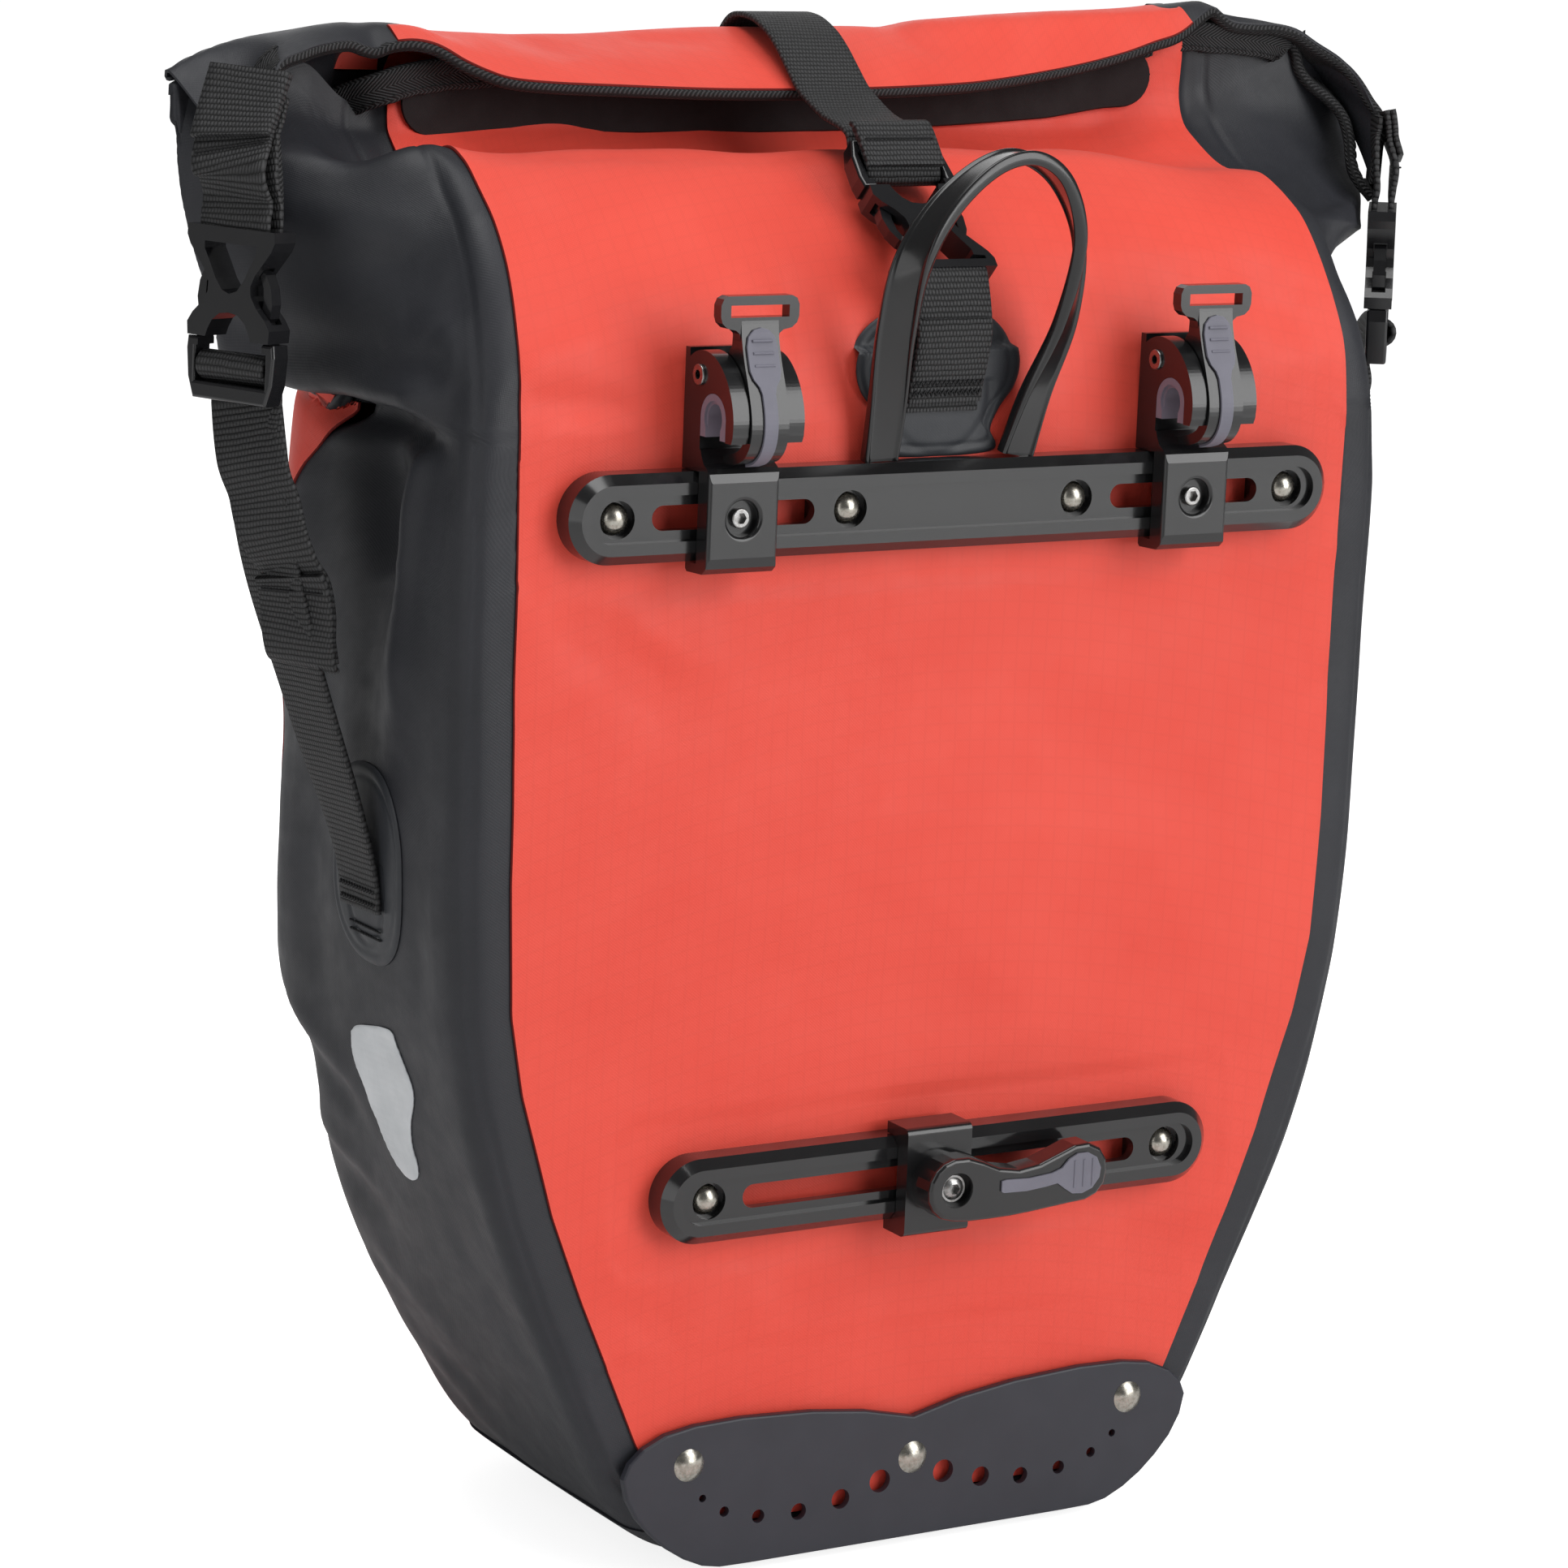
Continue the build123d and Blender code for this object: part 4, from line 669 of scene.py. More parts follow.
def wrinkles(p, side_patch=True):
    """Displacement in mm along the outward normal."""
    d = np.zeros(p.shape[:-1])
    x, y, z = p[..., 0], p[..., 1], p[..., 2]
    back = np.clip((28 - y) / 16, 0, 1)
    low = np.clip(z / 30, 0, 1)
    # ---- rack side
    b = np.zeros_like(d)
    b += 0.9 * fnoise(p, 170, 3)
    b += 0.35 * fnoise(p, 70, 4)
    b += crease(p, (-140, 0, 352), (-104, 2, 350), 6, -1.6) + crease(p, (-141, 0, 362), (-112, 2, 372), 7, 1.2)
    b += crease(p, (-122, 0, 300), (-92, 0, 262), 9, -1.3) + crease(p, (-105, 0, 300), (-72, 0, 270), 8, 0.9)
    b += crease(p, (-139, 0, 262), (-96, 0, 292), 8, 0.8)
    b += crease(p, (-64, 2, 400), (-36, 0, 362), 12, -2.4) + crease(p, (-40, 4, 396), (-30, 0, 350), 9, 1.4)
    b += crease(p, (-96, 4, 398), (-60, 6, 392), 14, 1.2)
    b += crease(p, (40, 3, 392), (62, 2, 372), 11, -1.8) + crease(p, (30, 6, 400), (44, 0, 360), 9, -1.2)
    b += crease(p, (96, 4, 388), (128, 6, 372), 10, -1.2) + crease(p, (96, 0, 352), (138, 2, 362), 8, 0.8)
    b += crease(p, (100, 0, 292), (136, 0, 262), 8, -1.0) + crease(p, (128, 0, 318), (140, 0, 280), 7, -0.9)
    b += crease(p, (-60, 0, 232), (86, 0, 190), 16, 0.9) + crease(p, (-90, 0, 192), (30, 0, 160), 15, -0.7)
    b += crease(p, (20, 0, 268), (110, 0, 214), 13, -0.8)
    b += crease(p, (-100, 0, 96), (-78, 0, 62), 8, -0.9) + crease(p, (-58, 0, 98), (-50, 0, 66), 8, 0.8)
    b += crease(p, (76, 0, 100), (94, 0, 62), 8, -0.9) + crease(p, (-104, 0, 120), (-92, 0, 84), 7, 0.7)
    b += crease(p, (-132, 0, 300), (-112, 0, 272), 6, -1.0) + crease(p, (-18, 4, 384), (6, 0, 352), 9, -1.8) + crease(p, (104, 6, 412), (110, 12, 398), 6, -2.0)
    b *= 1.55 * hardware_mask(p)
    b = np.where(z < 346, np.maximum(b, -0.9 - 0.2 * np.tanh(-b - 0.9)), b)
    d += back * b * np.clip((z - 20) / 30, 0, 1)
    # ---- sides
    s = 1 - np.clip((16 - y) / 10, 0, 1)
    front = np.clip((y - 138) / 16, 0, 1)
    sd = np.zeros_like(d)
    for sg, amp in ((-1, 1.0), (1, 0.85)):
        on = np.clip(sg * x / 60 - 0.6, 0, 1)
        e = np.zeros_like(d)
        k = lambda a, bb, w, am, sh=1.0: crease(p, (sg * a[0], a[1], a[2]), (sg * bb[0], bb[1], bb[2]), w, am * amp, sh)
        # overhang of the ear: a full lip with the cloth tucked in beneath it
        my = np.clip((y - 10) / 22, 0, 1)
        my = my * my * (3 - 2 * my) * np.clip((132 - y) / 24, 0, 1)
        lip = 346.0 + 6.0 * np.clip((y - 80) / 26, 0, 1) ** 2 - 1.5 * np.clip((40 - y) / 30, 0, 1)
        e += 7.5 * amp * my * np.exp(-((z - lip - 7.5) / 7.0) ** 2)
        e -= 7.0 * amp * my * np.exp(-((z - lip + 4.5) / 5.0) ** 2)
        # flat facet, deep valley and ridge below the lip
        e += k((158, 100, 338), (157, 112, 262), 13, 3.2)
        e += k((155, 62, 345), (156, 46, 300), 13, -8.5) + k((156, 50, 322), (156, 62, 262), 12, -3.4)
        e += k((158, 25, 346), (158, 35, 290), 6.0, 4.4) + k((158, 34, 298), (158, 44, 250), 8, 2.0)
        e += k((157, 9, 346), (157, 14, 300), 4.5, -1.6)
        e += k((158, 84, 262), (154, 92, 208), 11, -2.6) + k((158, 30, 262), (152, 26, 170), 8, -1.3)
        e += k((157, 40, 300), (156, 28, 232), 7, 1.3)
        e += k((157, 104, 226), (150, 92, 160), 12, -2.4) + k((157, 130, 232), (152, 122, 168), 12, 1.8)
        # pinch of the front corner beside the reflector, and the folds that run from it
        e += -8.5 * amp * np.exp(-(((y - 138) / 20) ** 2 + ((z - 131) / 17) ** 2)) + 2.4 * amp * np.exp(-(((y - 142) / 20) ** 2 + ((z - 166) / 14) ** 2))
        e += k((152, 122, 146), (148, 76, 128), 6.5, -2.8) + k((150, 124, 158), (150, 80, 142), 6.0, 1.8)
        e += k((146, 120, 122), (142, 82, 108), 6.5, 2.0) + k((142, 118, 106), (136, 78, 92), 7.0, -1.8)
        e += k((136, 112, 92), (122, 70, 56), 9, 1.4) + k((128, 120, 74), (112, 90, 40), 9, 1.5)
        e += k((122, 112, 62), (104, 72, 30), 8, -1.9) + k((140, 30, 112), (120, 22, 66), 9, -1.1)
        e += k((112, 118, 40), (92, 80, 16), 7, -1.6) + k((104, 96, 26), (84, 40, 10), 8, 1.4)
        # welded patches pull the cloth flat
        flat = 1 - 0.9 * np.exp(-(((y - 57) / 27) ** 4 + ((z - 212) / 36) ** 4)) - 0.75 * np.exp(-(((y - 58) / 22) ** 4 + ((z - 140) / 30) ** 4))
        e *= np.clip(flat, 0.08, 1)
        # ear: soft folds running from its edge towards the seam
        e += k((176, 92, 382), (158, 36, 388), 7.5, -3.0) + k((178, 80, 398), (156, 38, 402), 13, 2.2)
        e += k((178, 92, 368), (156, 36, 374), 9, 2.4) + k((168, 70, 353), (160, 24, 358), 4.5, -1.8)
        e += k((158, 22, 372), (156, 8, 360), 7, 2.6) + k((162, 44, 364), (156, 16, 372), 6, 1.6)
        e += k((203, 88, 424), (146, 44, 412), 8, 1.6) + k((190, 84, 412), (150, 40, 404), 9, -1.5)
        e += k((196, 104, 402), (158, 132, 372), 10, -2.2) + k((202, 108, 424), (156, 128, 402), 10, 1.6)
        sd += on * e
        sd += 0.8 * fnoise(p, 120, 11) + 0.35 * fnoise(p, 46, 12)
    d += sd * s * (1 - front) * np.clip((z - 4) / 40, 0.1, 1)
    # ---- street side
    f = 1.5 * fnoise(p, 150, 21) + 0.6 * fnoise(p, 60, 22)
    f += crease(p, (-96, 160, 352), (-20, 162, 330), 14, -2.4) + crease(p, (100, 158, 356), (24, 162, 326), 14, -2.2)
    f += crease(p, (-120, 158, 300), (-60, 166, 262), 16, 1.8) + crease(p, (118, 158, 296), (58, 166, 258), 16, 1.6)
    f += crease(p, (-70, 150, 90), (-30, 140, 50), 14, -2.0) + crease(p, (74, 150, 94), (36, 140, 52), 13, -2.0)
    f += crease(p, (-40, 130, 402), (-14, 140, 372), 10, -1.8) + crease(p, (52, 130, 404), (20, 140, 372), 10, -1.6)
    f += lump(p, (0, 166, 200), 90, 2.4, (1, 1, 1.2)) + lump(p, (0, 166, 268), 34, -1.2)
    d += f * front * np.clip((z - 6) / 50, 0, 1)
    return d


N_ALONG = 0


def body_levels(v0, v1, n):
    return np.linspace(v0, v1, n)


def smooth01(t):
    t = np.clip(t, 0, 1)
    return t * t * (3 - 2 * t)


def mouth_pose(p):
    """Whole-cloth bends at the mouth: open left end, raised right end, sagging shelf, soft crest."""
    q = p.copy()
    x, y, z = p[..., 0], p[..., 1], p[..., 2]
    # the back rim: a notch at the left end, where it sinks and comes forward, rising again to the corner
    rim = smooth01((z - 417.5) / 13) * smooth01((y - 78) / 14) * smooth01((105 - y) / 4.0)
    notch = np.exp(-((x + 143) / 10.5) ** 2)
    q[..., 2] -= rim * 4.0 * notch
    lift_l = smooth01((-x - 150) / 14) * smooth01((x + 206) / 22)
    q[..., 2] += rim * 7.0 * lift_l
    # right end: the back rises to the tape without a shelf
    r = smooth01((x - 104) / 34) * smooth01((203 - x) / 26)
    q[..., 2] += r * 19.5 * smooth01((z - 410) / 22) * smooth01((y - 60) / 32) * smooth01((108 - y) / 6.0)
    q[..., 1] -= r * 6.0 * smooth01((z - 414) / 16) * smooth01((y - 84) / 10) * smooth01((108 - y) / 6.0)
    shelf = np.exp(-((y - 80) / 11.5) ** 2) * smooth01((z - 404) / 8) * (z < 424)
    q[..., 2] -= shelf * (8.6 + 1.2 * np.cos(x / 46.0 + 0.6)) * smooth01((172 + x) / 20) * smooth01((128 - x) / 50)
    q[..., 2] += 4.6 * np.exp(-((x + 149) / 14) ** 2) * np.exp(-((y - 57) / 10) ** 2) * smooth01((z - 394) / 14)
    q[..., 0] += 7.5 * smooth01((x - 160) / 32) * smooth01((z - 388) / 16) * smooth01((446 - z) / 10)
    low = smooth01((x - 60) / 60) * smooth01((z - 396) / 10)
    q[..., 2] -= low * 6.5 * np.exp(-((y - 60) / 24) ** 2)
    # fold that stands out towards the rack at the right end
    t = ((x - 138) * 57 + (z - 402) * -12) / (57.0 ** 2 + 12.0 ** 2)
    dx, dz = x - (138 + 57 * np.clip(t, 0, 1)), z - (402 - 12 * np.clip(t, 0, 1))
    dist = np.sqrt(dx * dx + dz * dz)
    q[..., 1] -= 21.0 * np.clip(t, 0, 1.0) * np.clip(1 - dist / 19.0, 0, 1) ** 1.2 * (y < 96)
    # the rim stays under the hem of the street side
    ztop = np.interp(x, [96, 110, 122, 137, 150, 165, 180, 190, 198, 206], [447, 449.6, 452.4, 454.6, 454.0, 451.0, 446.4, 440.6, 434, 426])
    q[..., 2] = np.where((x > 96) & (y > 60), np.minimum(q[..., 2], ztop), q[..., 2])
    zleft = np.interp(x, [-206, -193, -178, -160, -145], [430.5, 436, 440.6, 444, 446])
    q[..., 2] = np.where((x < -140) & (y > 60), np.minimum(q[..., 2], zleft), q[..., 2])
    crest = np.exp(-((y - 50) / 9) ** 2) * smooth01((z - 402) / 8)
    q[..., 2] += crest * (0.7 * np.sin(x / 30.0 + 1.0) + 1.2 * np.clip(x / 130, -0.4, 1)) * smooth01((150 - np.abs(x)) / 20)
    return q


def displaced(p):
    q = mouth_pose(p)
    return q + grid_normals(q) * wrinkles(p)[..., None]


def clear_hardware(p):
    """Keeps the back just behind the rails, plates and hooks."""
    q = p.copy()
    m = hardware_mask(q)
    front = (q[..., 1] < 12) & (q[..., 2] < 372)
    q[..., 1] = np.where(front & (m < 0.35), np.maximum(q[..., 1], 0.56), q[..., 1])
    q[..., 1] = np.where(front, np.maximum(q[..., 1], -1.2 + 1.76 * (1 - m)), q[..., 1])
    return q


def half_grids(v0, v1, nv):
    vs = body_levels(v0, v1, nv)
    lines = level_rows(vs)
    return vs, lines


def gusset_grid(vs, lines, ext_b=14.0, ext_f=8.0, n=150):
    rows = []
    for v, l in zip(vs, lines):
        b, f, tot = seam_positions(l, v)
        lap = ext_f * (1 - 0.95 * math.exp(-((v - 347) / 11.0) ** 4))
        p, _ = cut(l, max(0, b - ext_b), min(tot, f + lap), n)
        rows.append(p)
    return np.array(rows)


def mirror(p):
    q = p.copy()
    q[..., 0] *= -1
    return q[:, ::-1]


V_TOP = 452.0
vs = np.concatenate([np.linspace(2.0, 330, 150, endpoint=False), np.linspace(330, V_TOP, 110)])
lines = level_rows(vs)

# ---- gussets (x > 0 grid runs back to front, so its normal from du x dv faces outward)
g_right = clear_hardware(displaced(gusset_grid(vs, lines)))
g_left = clear_hardware(displaced(mirror(gusset_grid(vs, lines))))


for g, sg in ((g_right, 1), (g_left, -1)):
    # the front edge is drawn in behind the street-side panel where the ear tucks under
    t = smooth01((np.arange(g.shape[1]) - (g.shape[1] - 16)) / 15.0)
    t = t if sg > 0 else t[::-1]
    pull = np.exp(-((vs - 347) / 13.0) ** 4)[:, None] * t[None, :]
    g[..., 0] -= sg * 6.0 * pull
    g[..., 1] += 2.0 * pull
    g[..., 0] -= sg * 5.5 * np.exp(-((g[..., 1] - 90) / 9.5) ** 4 - ((g[..., 2] - 341.2) / 3.8) ** 4)


for g in (g_right, g_left):
    # welded seam allowance: a shallow step one finger's width in from the back seam
    if g is g_left:
        g[:] = g[:, ::-1].copy()
    run = np.concatenate([np.zeros((len(g), 1)), np.cumsum(np.linalg.norm(np.diff(g, axis=1), axis=-1), axis=1)], 1)
    k = np.exp(-((run - 26.5) / 1.0) ** 2) * np.clip((g[:, :1, 2] - 12) / 20, 0, 1)
    nn_ = grid_normals(g)
    if g is g_left:
        nn_ = -nn_
    g -= nn_ * (0.55 * k)[..., None]
    if g is g_left:
        g[:] = g[:, ::-1].copy()


for name, g, node in (("gusset_right_cloth", g_right, "gusset_right"), ("gusset_left_cloth", g_left, "gusset_left")):
    b = Builder()
    nrm = grid_normals(g)
    sheet(b, g, nrm, -0.3, 1.0)
    o = b.piece(name, [CHAR])
    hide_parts(node)
    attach(o, "bag")


# ---- back panel with the shelf and the stiffened rim
def back_grid(n=190):
    rows = []
    for v, l in zip(vs, lines):
        if v < 14:
            continue
        b, f, tot = seam_positions(l, v)
        p, _ = cut(l, 0, b, n // 2)
        rows.append(np.concatenate([mirror_line(p), p[1:]]))
    return np.array(rows)


def mirror_line(p):
    q = p.copy()
    q[:, 0] *= -1
    return q[::-1]


bg = back_grid()
bg = bg  # rows from the base upward, columns left to right
# extra rows: the strip above the shelf
top = bg[-1]
extra = []
for k, (yy, zz) in enumerate([(97.4, 433.4), (97.6, 435.8), (97.6, 438.2), (97.4, 440.6)]):
    r = top.copy()
    r[:, 1] = yy
    r[:, 2] = 431.0 + (zz - 431.0) * smooth01((140 - np.abs(r[:, 0])) / 40)
    extra.append(r)
bg = np.concatenate([bg, np.array(extra)])
# grid normal: columns run +x, rows run +z, so du x dv points to -y, outward on the rack side
bg = displaced(bg)
bg = clear_hardware(bg)
b = Builder()
sheet(b, bg, grid_normals(bg), 0.62, 1.0, rim_mat=1)
o = b.piece("back_panel_cloth", [RED, THREAD_R])
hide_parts("back_panel", "mouth_back_flap")
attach(o, "bag")
BACK_NRM = grid_normals(bg)

# ---- street-side panel, over the ridge and down to the hem
HEM = [(-186, 66, 398), (-185, 69, 408), (-184.5, 73, 422), (-183.5, 77, 433), (-180, 80, 441), (-171, 83, 444.0), (-163, 87, 445.6), (-153.7, 90, 446.4), (-148.5, 90.5, 445.0),
       (-144.4, 90.5, 444.4), (-140.3, 89.5, 446.0), (-134.5, 88, 446.8), (-128.8, 87, 446.0), (-124.5, 85.6, 444.2), (-120.2, 83, 441.4), (-114.2, 80, 438.6),
       (-107.8, 77, 436.6), (-96.1, 74, 435.6), (-75.7, 72, 434.9), (-40, 71, 433.9), (0, 71, 434), (40, 75, 435), (62, 79, 436.4), (90, 82.5, 440),
       (110, 84.0, 444), (122.8, 85, 447.6), (131, 86, 449.6), (137, 87, 452.4), (143.5, 88.6, 456.8), (148.2, 90, 458.4), (152.0, 90, 456.0), (156.5, 90, 453.8), (164.3, 89, 453.2),
       (172, 88.4, 453.2), (179, 86.6, 451.6), (185.2, 84, 447.6), (191.7, 80, 443.1), (196.4, 77, 437.6), (199.4, 72.4, 430.0), (201.4, 69.5, 423.0), (200.4, 69, 415.0), (199.6, 68.6, 404)]
RIDGE = [(-205, 101, 436), (-193, 103.5, 441.4), (-178, 105, 446.0), (-160, 105.5, 449.0), (-145, 106, 450.0), (-132, 107, 449.4), (-120, 107.5, 448.0), (-96, 108.5, 447.2),
         (-73, 109, 446.8), (-48, 110, 448.2), (-20, 110, 449.3), (10, 110, 449.4), (34, 109, 449.8), (50, 108, 452.2), (76, 107, 453.8),
         (101, 106, 455.2), (125, 105, 456.6), (142, 104.5, 457.6), (156, 103.5, 453.4), (170, 102, 450.0), (184, 101, 444.6), (196, 100.5, 438.4), (204, 100, 433)]
FLAP_DOWN = [(-205, 103, 434), (-180, 108, 437), (-150, 112, 437), (-100, 116.5, 436), (0, 117.5, 436), (100, 116.5, 438), (150, 112.5, 440),
             (182, 107, 438), (204, 103, 434)]

hem_c, ridge_c, down_c = spline(HEM, 400), spline(RIDGE, 400), spline(FLAP_DOWN, 400)


def by_x(curve, x):
    """Point of a curve at width x (monotone in x apart from the hanging ends)."""
    xs = np.maximum.accumulate(curve[:, 0] + np.arange(len(curve)) * 1e-6)
    return np.stack([np.interp(x, xs, curve[:, k]) for k in range(3)], -1)


def front_grid(n=210):
    rows = []
    for v, l in zip(vs, lines):
        if v < 14 or v > 432:
            continue
        b0, f, tot = seam_positions(l, v)
        p, _ = cut(l, f, tot, n // 2)
        # along increasing v the street side runs right to left seen from +y, so its normal faces outward
        rows.append(np.concatenate([p, mirror_line(p)[1:]]))
    return np.array(rows)


fg = front_grid()
nf = grid_normals(fg)
fg = fg + nf * wrinkles(fg)[..., None]
xs_top = fg[-1][:, 0]
last = fg[-1]
ridge_p, hem_p = by_x(ridge_c, xs_top), by_x(hem_c, xs_top)
down_p = by_x(down_c, xs_top)
cols = []
for i in range(len(xs_top)):
    a = last[i]
    ridge = ridge_p[i].copy()
    hem = hem_p[i].copy()
    ctrl = [a, (down_p[i] * 0.5 + a * 0.5 + np.array([0, 1.2, 3.0])), (ridge + np.array([0, 5.5, -2.4])), ridge, ridge + np.array([0, -8.0, -0.8]),
            (ridge * 0.35 + hem * 0.65 + np.array([0, 0.6, 2.4])), hem]
    cols.append(spline(np.array(ctrl), 46))
cap = np.array(cols).transpose(1, 0, 2)
wr = 0.7 * fnoise(cap, 60, 31) + crease(cap, (-96, 108, 448), (-84, 84, 441), 8, -1.2) + crease(cap, (36, 110, 449), (46, 86, 440), 7, -1.6) + \
    crease(cap, (-60, 100, 448), (-30, 96, 447), 6, -0.7) + crease(cap, (88, 104, 455), (70, 92, 447), 8, -0.8)
fade = np.sin(np.linspace(0, 1, cap.shape[0]) * math.pi)[:, None]
cap = cap + grid_normals(cap) * (wr * fade)[..., None]
fg = np.concatenate([fg[:-1], cap])
b = Builder()
nf = grid_normals(fg)
sheet(b, fg, nf, 0.62, 1.0, rim_mat=1)
o = b.piece("front_panel_cloth", [RED, THREAD_R])
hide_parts("front_panel", "mouth_front_flap")
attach(o, "bag")

# ---- charcoal ends of the mouth: from the ridge over to the hem
for sg, name in ((-1, "mouth_end_left"), (1, "mouth_end_right")):
    x_in = 134.0
    xs = np.linspace(x_in, 204.0, 60) * sg
    if sg < 0:
        xs = xs[::-1]
    cols = []
    hem_full = hem_c[hem_c[:, 0] * sg > x_in - 4]
    hem_full = resample(hem_full, 200)
    if sg < 0:
        hem_full = hem_full
    for i, x in enumerate(xs):
        t = (abs(x) - x_in) / (204.0 - x_in)
        ridge = by_x(ridge_c, x)
        h0 = hem_full[-1] if sg < 0 else hem_full[0]
        idx = (1 - t) * 199 if sg < 0 else t * 199
        k = int(min(idx, 198))
        hem = hem_full[k] + (hem_full[k + 1] - hem_full[k]) * (idx - k)
        dn = by_x(down_c, x)
        dn = dn + np.array([0, -1.0, 0.0])
        bulge = np.array([0, -1.5 * (1 - t), 2.2 * (1 - 0.6 * t)])
        ctrl = [dn, ridge + np.array([0, 4.0, -2.0]), ridge, ridge * 0.6 + hem * 0.4 + bulge, hem]
        cols.append(spline(np.array(ctrl), 34))
    e = np.array(cols).transpose(1, 0, 2)
    # street side first row, so x must fall for an outward normal
    e = e[:, ::-1]
    e = e + grid_normals(e) * (0.8 * fnoise(e, 42, 41 + sg) * np.sin(np.linspace(0, 1, e.shape[0]) * math.pi)[:, None])[..., None]
    b = Builder()
    sheet(b, e, grid_normals(e), 0.2, 1.1, mat_in=1)
    o = b.piece(name, [CHAR, RED if sg < 0 else CHAR])
    # the red lining only shows near the panel seam
    for pl in o.data.polygons:
        if pl.material_index == 1 and pl.center.x < -0.176:
            pl.material_index = 0
    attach(o, "bag")

# ---- underside
rows = []
base_levels = np.linspace(14.5, 0.0, 14)
outline = []
for v in base_levels:
    l = level_rows([v])[0]
    half = resample(l, 110)
    outline.append(np.concatenate([half[:-1], mirror_line(half)[:-1]]))
base = np.array(outline)
cen = np.array([0, 52.0, 2.2])
inner_rings = []
for t in np.linspace(0.06, 1.0, 16):
    r = base[-1] * (1 - t) + cen * t
    r[:, 2] = 0.0 + 2.4 * np.clip(t * 1.5, 0, 1) ** 2 + 0.5 * fnoise(r, 60, 51)
    r[:, 2] = np.maximum(r[:, 2], 0.05)
    inner_rings.append(r)
base = np.concatenate([base, np.array(inner_rings[:-1])])
nbase = base.shape[1]
b = Builder()
fab = np.stack([base[..., 0], base[..., 1] + base[..., 2], np.zeros(base.shape[:2])], -1)
dn = base - np.array([0, 52, 60])
b.add(base + unit(base - np.array([0, 52.0, 40.0])) * 0.25, grid_faces(base.shape[0], nbase, closed_u=True, flip=True), fab, 0)
lastr = base[-1]
b.add(np.concatenate([lastr, [cen]]), [((i + 1) % nbase, i, nbase) for i in range(nbase)], np.concatenate([lastr, [cen]]), 0)
ins = base + unit(np.array([0, 52.0, 60.0]) - base) * 1.4
b.add(ins, grid_faces(base.shape[0], nbase, closed_u=True), fab, 0)
b.add(np.concatenate([ins[-1], [cen + [0, 0, 1.4]]]), [(i, (i + 1) % nbase, nbase) for i in range(nbase)], np.concatenate([lastr, [cen]]), 0)
rim = np.concatenate([(base + unit(base - np.array([0, 52.0, 40.0])) * 0.25)[0], ins[0]])
b.add(rim, [(i, i + nbase, (i + 1) % nbase + nbase, (i + 1) % nbase) for i in range(nbase)], np.concatenate([fab[0], fab[0]]), 0)
o = b.piece("base_cloth", [CHAR])
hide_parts("base_panel")
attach(o, "bag")


# ------------------------------------------------------------------ edge tapes
def tape(name, path, inward, outward, half=5.2, thick=0.75, wave=0.35, replaced=()):
    """Binding folded over a cloth edge: path runs along the edge, inward points from the edge into the cloth, outward off its outer side."""
    n = len(path)
    tan = unit(np.gradient(path, axis=0))
    o_ = unit(outward - tan * (outward * tan).sum(-1, keepdims=True))
    i_ = unit(np.cross(o_, tan))
    i_ = i_ * np.sign((i_ * inward).sum(-1, keepdims=True))
    sec = []
    t0, t1 = 1.05, 1.05 + thick
    for a in np.linspace(2 * half, 1.0, 8):
        sec.append((a, t1))
    for a in np.linspace(math.pi / 2, -math.pi / 2, 7)[1:-1]:
        sec.append((1.0 - t1 * math.cos(a), t1 * math.sin(a)))
    for a in np.linspace(1.0, 2 * half, 8):
        sec.append((a, -t1))
    sec += [(2 * half + 0.3, -t1 + thick / 2), (2 * half, -t0 + 0.1)]
    for a in np.linspace(2 * half - 1, 1.2, 6):
        sec.append((a, -t0 + 0.1))
    for a in np.linspace(1.2, 2 * half - 1, 6):
        sec.append((a, t0 - 0.1))
    sec += [(2 * half, t0 - 0.1), (2 * half + 0.3, t1 - thick / 2)]
    s = np.array(sec)
    length = np.concatenate([[0], np.cumsum(np.linalg.norm(np.diff(path, axis=0), axis=-1))])
    wob = wave * np.sin(length / 2.1) * 0.45 + wave * np.sin(length / 0.9 + 1) * 0.25
    edge = np.clip(s[:, 0] / (2 * half), 0, 1) ** 2
    p = path[:, None] + i_[:, None] * (s[None, :, :1] + wob[:, None, None] * edge[None, :, None]) + o_[:, None] * s[None, :, 1:]
    fab = np.stack([np.broadcast_to(s[:, 0] + 50 * (s[:, 1] < 0), (n, len(s))), np.broadcast_to(length[:, None], (n, len(s))), np.zeros((n, len(s)))], -1)
    b = Builder()
    b.add(p, grid_faces(n, len(s), closed_u=True), fab, 0)
    for j, fl in ((0, True), (n - 1, False)):
        c = p[j].mean(0)
        b.add(np.concatenate([p[j], [c]]), [((i, (i + 1) % len(s), len(s)) if not fl else ((i + 1) % len(s), i, len(s))) for i in range(len(s))],
              np.concatenate([fab[j], [fab[j].mean(0)]]), 0)
    st = path + i_ * (2 * half - 1.5) + o_ * (t1 + 0.02)
    stitches(b, resample(st, 300), o_[len(o_) // 2], 1, pitch=3.2, length=2.2, r=0.2, lift=0.0)
    ob = b.piece(name, [TAPE, THREAD])
    if replaced:
        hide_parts(*replaced)
    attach(ob, "bag")
    return ob


